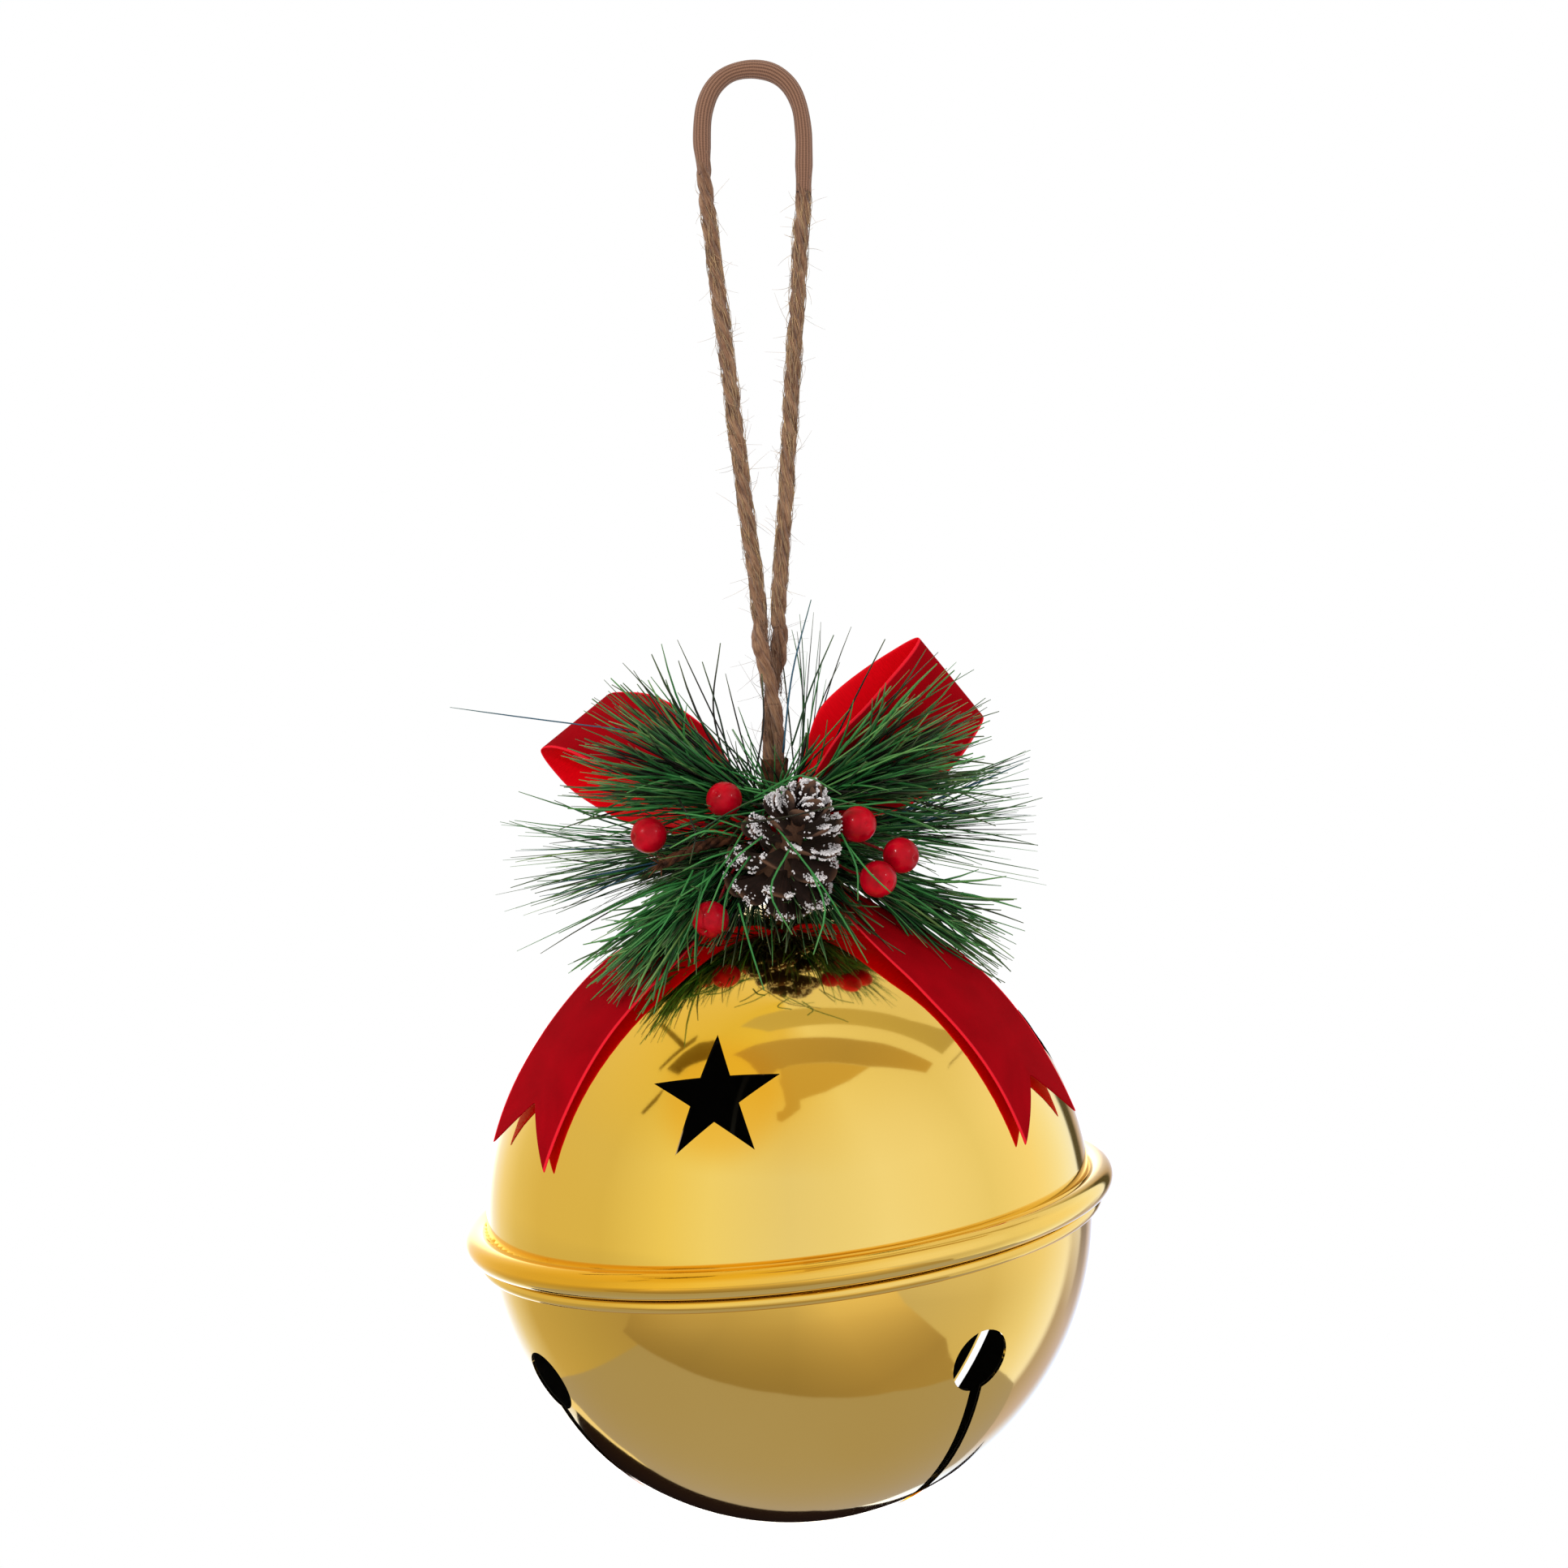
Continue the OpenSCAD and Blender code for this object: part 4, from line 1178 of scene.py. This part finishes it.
# ---------------------------------------------------------------- berries
# Foam berries 11.4 mm across, dipped in red lacquer, each with a dimple where the
# dipping wire was, on thin red wires that come out of the tape.
left_berries_mm = [(-40, -38, -251), (-16, -35.5, -240.5), (-21, -49.5, -277.2)]
left_roots_mm = [(-11, -19, -250), (-9, -23, -247), (-9, -25, -257)]
right_berries_mm = [(25.5, -47, -249.5), (38.7, -42, -259.8), (31, -50, -266.5)]
right_roots_mm = [(12, -22, -251), (12, -20, -255), (13, -23, -258)]
berry_r = 0.0057

bpy.ops.object.select_all(action="DESELECT")
bpy.ops.mesh.primitive_uv_sphere_add(segments=40, ring_count=24, radius=berry_r, calc_uvs=True)
berry_one = bpy.context.object
deselect_and_edit(berry_one)
for reach, push in ((0.0009, -0.0005), (0.00035, -0.0006)):
    pick(berry_one, lambda co, r=reach: co.z > 0 and math.hypot(co.x, co.y) < r)
    bpy.ops.transform.translate(value=(0, 0, push))
pick(berry_one, lambda co: co.z < 0 and math.hypot(co.x, co.y) < 0.0008)
bpy.ops.transform.translate(value=(0, 0, -0.0003))
bpy.ops.object.mode_set(mode="OBJECT")
for face in berry_one.data.polygons:
    face.use_smooth = True
berry_mesh = berry_one.data
bpy.data.objects.remove(berry_one)

# Red lacquer: thick and glossy, deeper where it pooled, with a few pin-sized dents.
lacquer = blank_finish("red_lacquer_dipped")
where = add_node(lacquer, "TexCoord")
pool = speckle(lacquer, 170.0, 3.0)
dents = add_node(lacquer, "TexVoronoi", {"Vector": (where, "Object"), "Scale": 520.0})
pin = remap(lacquer, (dents, "Distance"), (0.0, 0.22))
tone = ramp(lacquer, pool, [(0.34, "#8a0010"), (0.68, "#c2001c"), (0.5, "#a80016")])
relief = bump(lacquer, pin, 0.12, 0.0002)
surface(lacquer, {"Base Color": tone, "Roughness": 0.28, "Specular IOR Level": 0.09,
    "Coat Weight": 0.10, "Coat Roughness": 0.08, "Normal": relief})

# Enamelled wire: drawn iron with red enamel.
red_wire = blank_finish("enamelled_red_wire")
worn = speckle(red_wire, 700.0, 2.0)
tone = ramp(red_wire, worn, [(0.3, "#5c060e"), (0.7, "#a01020")])
surface(red_wire, {"Base Color": tone, "Roughness": 0.4, "Specular IOR Level": 0.5})

number = 0
for side_name, berries, roots in (("left", left_berries_mm, left_roots_mm),
        ("right", right_berries_mm, right_roots_mm)):
    shape = bmesh.new()
    for at_mm, root_mm in zip(berries, roots):
        number += 1
        at, root = Vector(at_mm) / 1000, Vector(root_mm) / 1000
        away = (at - root).normalized()
        mesh = berry_mesh.copy()
        berry = placed(f"berry_{number}_lacquered", mesh)
        tilt = Vector((0, 0, 1)).rotation_difference(away).to_matrix().to_4x4()
        mesh.transform(Matrix.Translation(at) @ tilt
            @ Matrix.Diagonal((1, 1.0 - 0.015 * (number % 3), 1, 1)))
        mesh.materials.append(lacquer)
        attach(berry, "bell")
        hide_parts(f"berry_{number}")
        bow = Vector((0, 0, 0.0022 if number % 2 else -0.0018))
        wire = smooth_route([root, root.lerp(at, 0.5) + bow, at - away * (berry_r - 0.002)], 0.0015)
        swept_tube(shape, wire, 0.00045, 8)
    wires = finished(f"berry_wires_{side_name}_bent", shape)
    wires.data.materials.append(red_wire)
    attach(wires, "bell")
    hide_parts(f"berry_wires_{side_name}")

# ---------------------------------------------------------------- studio
# A white room: a pale floor far below the hanging bell, a white surround, two soft
# boxes, and cards that only the gold sees, for the tones of its reflections.
white = [(0.0, "#ffffff"), (1.0, "#ffffff")]


def studio_card(name, outline, height, tones, sideways=white, strength=1.0, gloss_only=True):
    """A level glowing sheet. tones run from its near to its far edge, sideways from
    left to right, and multiply."""
    mesh = bpy.data.meshes.new(name)
    mesh.from_pydata([(x, y, height) for x, y in outline], [], [range(len(outline))])
    card = placed(name, mesh)
    paper = blank_finish(name + "_paper")
    where = add_node(paper, "TexCoord")
    apart = add_node(paper, "SeparateXYZ", {"Vector": (where, "Object")})
    both = []
    for axis, number, stops in (("Y", 1, tones), ("X", 0, sideways)):
        ends = [corner[number] for corner in outline]
        far = remap(paper, (apart, axis), (min(ends), max(ends)))
        both.append(ramp(paper, far, stops))
    tone = add_node(paper, "Mix", {0: 1.0, 6: both[0], 7: both[1]}, data_type="RGBA",
        blend_type="MULTIPLY")
    glow = add_node(paper, "Emission", {"Color": (tone, 2), "Strength": strength})
    add_node(paper, "OutputMaterial", {"Surface": (glow, "Emission")})
    mesh.materials.append(paper)
    if gloss_only:
        card.visible_camera = card.visible_diffuse = False
        card.visible_shadow = card.visible_transmission = False
    card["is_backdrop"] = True
    return card


floor = studio_card("pale_floor", [(-30, -30), (30, -30), (30, 30), (-30, 30)], -1.1, white,
    gloss_only=False)
floor.visible_glossy = False
# below, as the bowl shows it: a grey table, a brown shade in front of it, and a black
# edge behind it with a bright strip at its left
below = bell_at[2] - 0.5
studio_card("table_under", [(-0.66, -0.37), (-0.45, -0.40), (-0.21, -0.41), (-0.05, -0.40),
    (0.1, -0.36), (0.29, -0.28), (0.45, -0.15), (0.56, 0.10), (0.50, 0.29), (0.24, 0.42),
    (0.1, 0.36), (0.02, 0.27), (-0.1, 0.245), (-0.25, 0.25), (-0.31, 0.27), (-0.38, 0.31),
    (-0.6, 0.32)], below, [(0, "#b1acac"), (1, "#b0adb4")])
studio_card("table_shade", [(-1.5, -1.5), (0.9, -1.5), (0.62, -0.35), (0.45, -0.15), (0.29, -0.28),
    (0.1, -0.36), (-0.05, -0.40), (-0.21, -0.41), (-0.45, -0.40), (-0.66, -0.37), (-0.8, -0.36)],
    below, [(0.0, "#c8c0a8"), (1.0, "#82775f"), (0.46, "#a5997e"), (0.72, "#8c8067"),
    (0.85, "#81755e")], strength=2.0, sideways=white
    + [(0.30, "#ececec"), (0.46, "#d9d9d9"), (0.62, "#dcdcdc"), (0.74, "#f6f6f8")])
studio_card("black_edge", [(-0.45, 0.38), (-0.38, 0.31), (-0.31, 0.27), (-0.25, 0.25),
    (-0.1, 0.245), (0.02, 0.27), (0.08, 0.34), (0.12, 0.46), (0.17, 0.56), (0.30, 0.47),
    (0.19, 0.68), (0.08, 0.62), (-0.08, 0.66), (-0.27, 0.72), (-0.42, 0.44)], below,
    [(0, "#241a1a"), (1, "#150f0f")])
studio_card("bright_strip", [(-0.52, 0.33), (-0.30, 0.238), (-0.25, 0.25), (-0.31, 0.27),
    (-0.38, 0.31), (-0.45, 0.38), (-0.50, 0.40)], below + 0.001, [(0, "#fff6d8"), (1, "#fff6d8")])
# overhead, as the dome shows it: two arched beams, the shape below them, and on the
# left a lamp stand and a leaf
over = bell_at[2] + 0.9
studio_card("roof_beam_high", [(-0.206, -0.205), (-0.07, -0.272), (0.057, -0.247), (0.182, -0.215),
    (0.311, -0.18), (0.452, -0.143), (0.613, -0.097), (0.814, -0.047), (0.998, -0.007),
    (1.074, 0.355), (0.856, 0.184), (0.663, 0.07), (0.5, 0.009), (0.36, -0.042), (0.234, -0.081),
    (0.114, -0.109), (-0.003, -0.128), (-0.125, -0.16)], over, [(0.0, "#d0c087"), (1.0, "#c9b988")],
    sideways=[(0, "#ffffff"), (1, "#f0f0ff")])
studio_card("roof_beam_wide", [(-0.263, -0.389), (-0.136, -0.548), (-0.014, -0.538),
    (0.135, -0.507), (0.285, -0.48), (0.517, -0.448), (0.717, -0.373), (0.955, -0.275),
    (0.965, -0.15), (0.754, -0.191), (0.559, -0.226), (0.4, -0.268), (0.257, -0.293),
    (0.123, -0.316), (-0.008, -0.333), (-0.143, -0.353)], over,
    [(0.0, "#c5a868"), (1.0, "#c8ad70")], sideways=white + [(0.5, "#ecf0ff")])
studio_card("roof_shade", [(-0.014, -0.54), (-0.018, -0.678), (0.003, -0.879), (-0.018, -0.941),
    (-0.068, -0.962), (-0.07, -1.057), (-0.033, -1.083), (0.041, -1.014), (0.112, -0.924),
    (0.104, -0.833), (0.276, -0.739), (0.414, -0.61), (0.518, -0.452), (0.285, -0.482),
    (0.135, -0.509)], over, [(0.0, "#cdb06a"), (1.0, "#d3b873")])
for name, outline in (
        ("roof_edge", [(1.2, 0.39), (1.115, -0.019), (1.134, -0.105), (1.128, -0.03),
            (1.21, 0.39)]),
        ("lamp_pole", [(-0.634, 0.082), (-0.602, 0.072), (-0.519, -0.194), (-0.558, -0.201)]),
        ("lamp_arm", [(-0.434, -0.166), (-0.461, -0.205), (-0.764, -0.275), (-0.765, -0.254)]),
        ("leaf", [(-0.352, -0.241), (-0.379, -0.301), (-0.447, -0.355), (-0.647, -0.371),
            (-0.714, -0.297), (-0.556, -0.249), (-0.443, -0.226)]),
        ("leaf_low", [(-0.849, -0.457), (-0.969, -0.528), (-1.193, -0.571), (-1.205, -0.537)]),
        ("leaf_high", [(-0.468, 0.393), (-0.486, 0.325), (-0.733, 0.279), (-0.87, 0.276),
            (-0.853, 0.331), (-0.62, 0.341)])):
    studio_card(name, outline, over + 0.001, [(0, "#6f5a22"), (1, "#86702e")])

world = bpy.data.worlds.new("white_room")
bpy.context.scene.world = world
world.use_nodes = True
world.node_tree.nodes.clear()
# The room as the gold sees it, in three belts by height. Along each belt 0.5 is the
# wall in front, 0 and 1 are the one behind, and 0.25 is the left. 0.4 of full is white.
way = add_node(world, "TexCoord")
apart = add_node(world, "SeparateXYZ", {"Vector": (way, "Generated")})
front = add_node(world, "Math", {0: (apart, "Y"), 1: -1.0}, operation="MULTIPLY")
angle = add_node(world, "Math", {0: (apart, "X"), 1: (front, "Value")}, operation="ARCTAN2")
round_room = remap(world, (angle, "Value"), (-math.pi, math.pi))
walls = ramp(world, round_room, [(0, "#ffffff"), (1, "#ffffff"), (0.061, "#dde2ec"),
    (0.094, "#adadb3"), (0.125, "#a7a08c"), (0.161, "#9c9373"), (0.211, "#958a64"),
    (0.3, "#948a63"), (0.375, "#a29b76"), (0.419, "#a4a18c"), (0.5, "#9e9d9b"), (0.6, "#a6a6a8"),
    (0.661, "#a5a39e"), (0.719, "#a09d90"), (0.789, "#aaa69d"), (0.856, "#acb1bf"),
    (0.886, "#aab1c2"), (0.892, "#383427"), (0.911, "#383427"), (0.922, "#7c6f66"),
    (0.953, "#99959e"), (0.978, "#cbcbd7")])
low_walls = ramp(world, round_room, [(0, "#ffffff"), (1, "#ffffff"), (0.061, "#cbd7f6"),
    (0.089, "#aeb8d7"), (0.125, "#9d9b92"), (0.167, "#887e5c"), (0.25, "#7f775c"),
    (0.333, "#776e5b"), (0.458, "#766e5e"), (0.542, "#7c776d"), (0.6, "#888581"),
    (0.722, "#928d7e"), (0.792, "#a3a39f"), (0.85, "#adb4cb"), (0.864, "#7c767c"),
    (0.917, "#8b8695"), (0.958, "#acbfe7")])
roof = ramp(world, round_room, [(0, "#9f987c"), (1, "#9f987c"), (0.167, "#9e926b"),
    (0.25, "#9d8f5b"), (0.333, "#9b8c4c"), (0.417, "#9e8f4c"), (0.5, "#9d8e5b"), (0.583, "#a39e8c"),
    (0.708, "#9d9784"), (0.806, "#9b9586"), (0.917, "#9e9884")])
sink = remap(world, (apart, "Z"), (-0.12, -0.42))
climb = remap(world, (apart, "Z"), (0.35, 0.78))
lower = mixed_colour(world, sink, walls, low_walls)
tinted = mixed_colour(world, climb, lower, roof)
path = add_node(world, "LightPath")
room = add_node(world, "Background", {"Color": tinted, "Strength": 2.5})
fill = add_node(world, "Background", {"Color": (1, 1, 1, 1), "Strength": 0.85})
seen = add_node(world, "Background", {"Color": (1, 1, 1, 1), "Strength": 1.0})
lit = add_node(world, "MixShader", {0: (path, "Is Glossy Ray"), 1: (fill, "Background"),
    2: (room, "Background")})
both = add_node(world, "MixShader", {0: (path, "Is Camera Ray"), 1: (lit, "Shader"),
    2: (seen, "Background")})
add_node(world, "OutputWorld", {"Surface": (both, "Shader")})

# The soft boxes light everything but the plated shells, which would mirror them.
lit_pieces = bpy.data.collections.new("lit_by_soft_boxes")
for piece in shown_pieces():
    if piece.name not in ("upper_dome", "lower_bowl"):
        lit_pieces.objects.link(piece)
for name, at, watts, size in (("soft_box_left", (-0.9, -1.1, 0.5), 7.0, 0.2),
        ("soft_box_right", (1.1, -0.8, 0.3), 1.6, 0.12)):
    lamp = bpy.data.lights.new(name, "AREA")
    lamp.energy = watts
    lamp.size = size
    box = placed(name, lamp)
    box.location = at
    aim = Vector((0, 0, -0.3)) - Vector(at)
    box.rotation_euler = aim.to_track_quat("-Z", "Y").to_euler()
    box.visible_camera = False
    box.light_linking.receiver_collection = lit_pieces
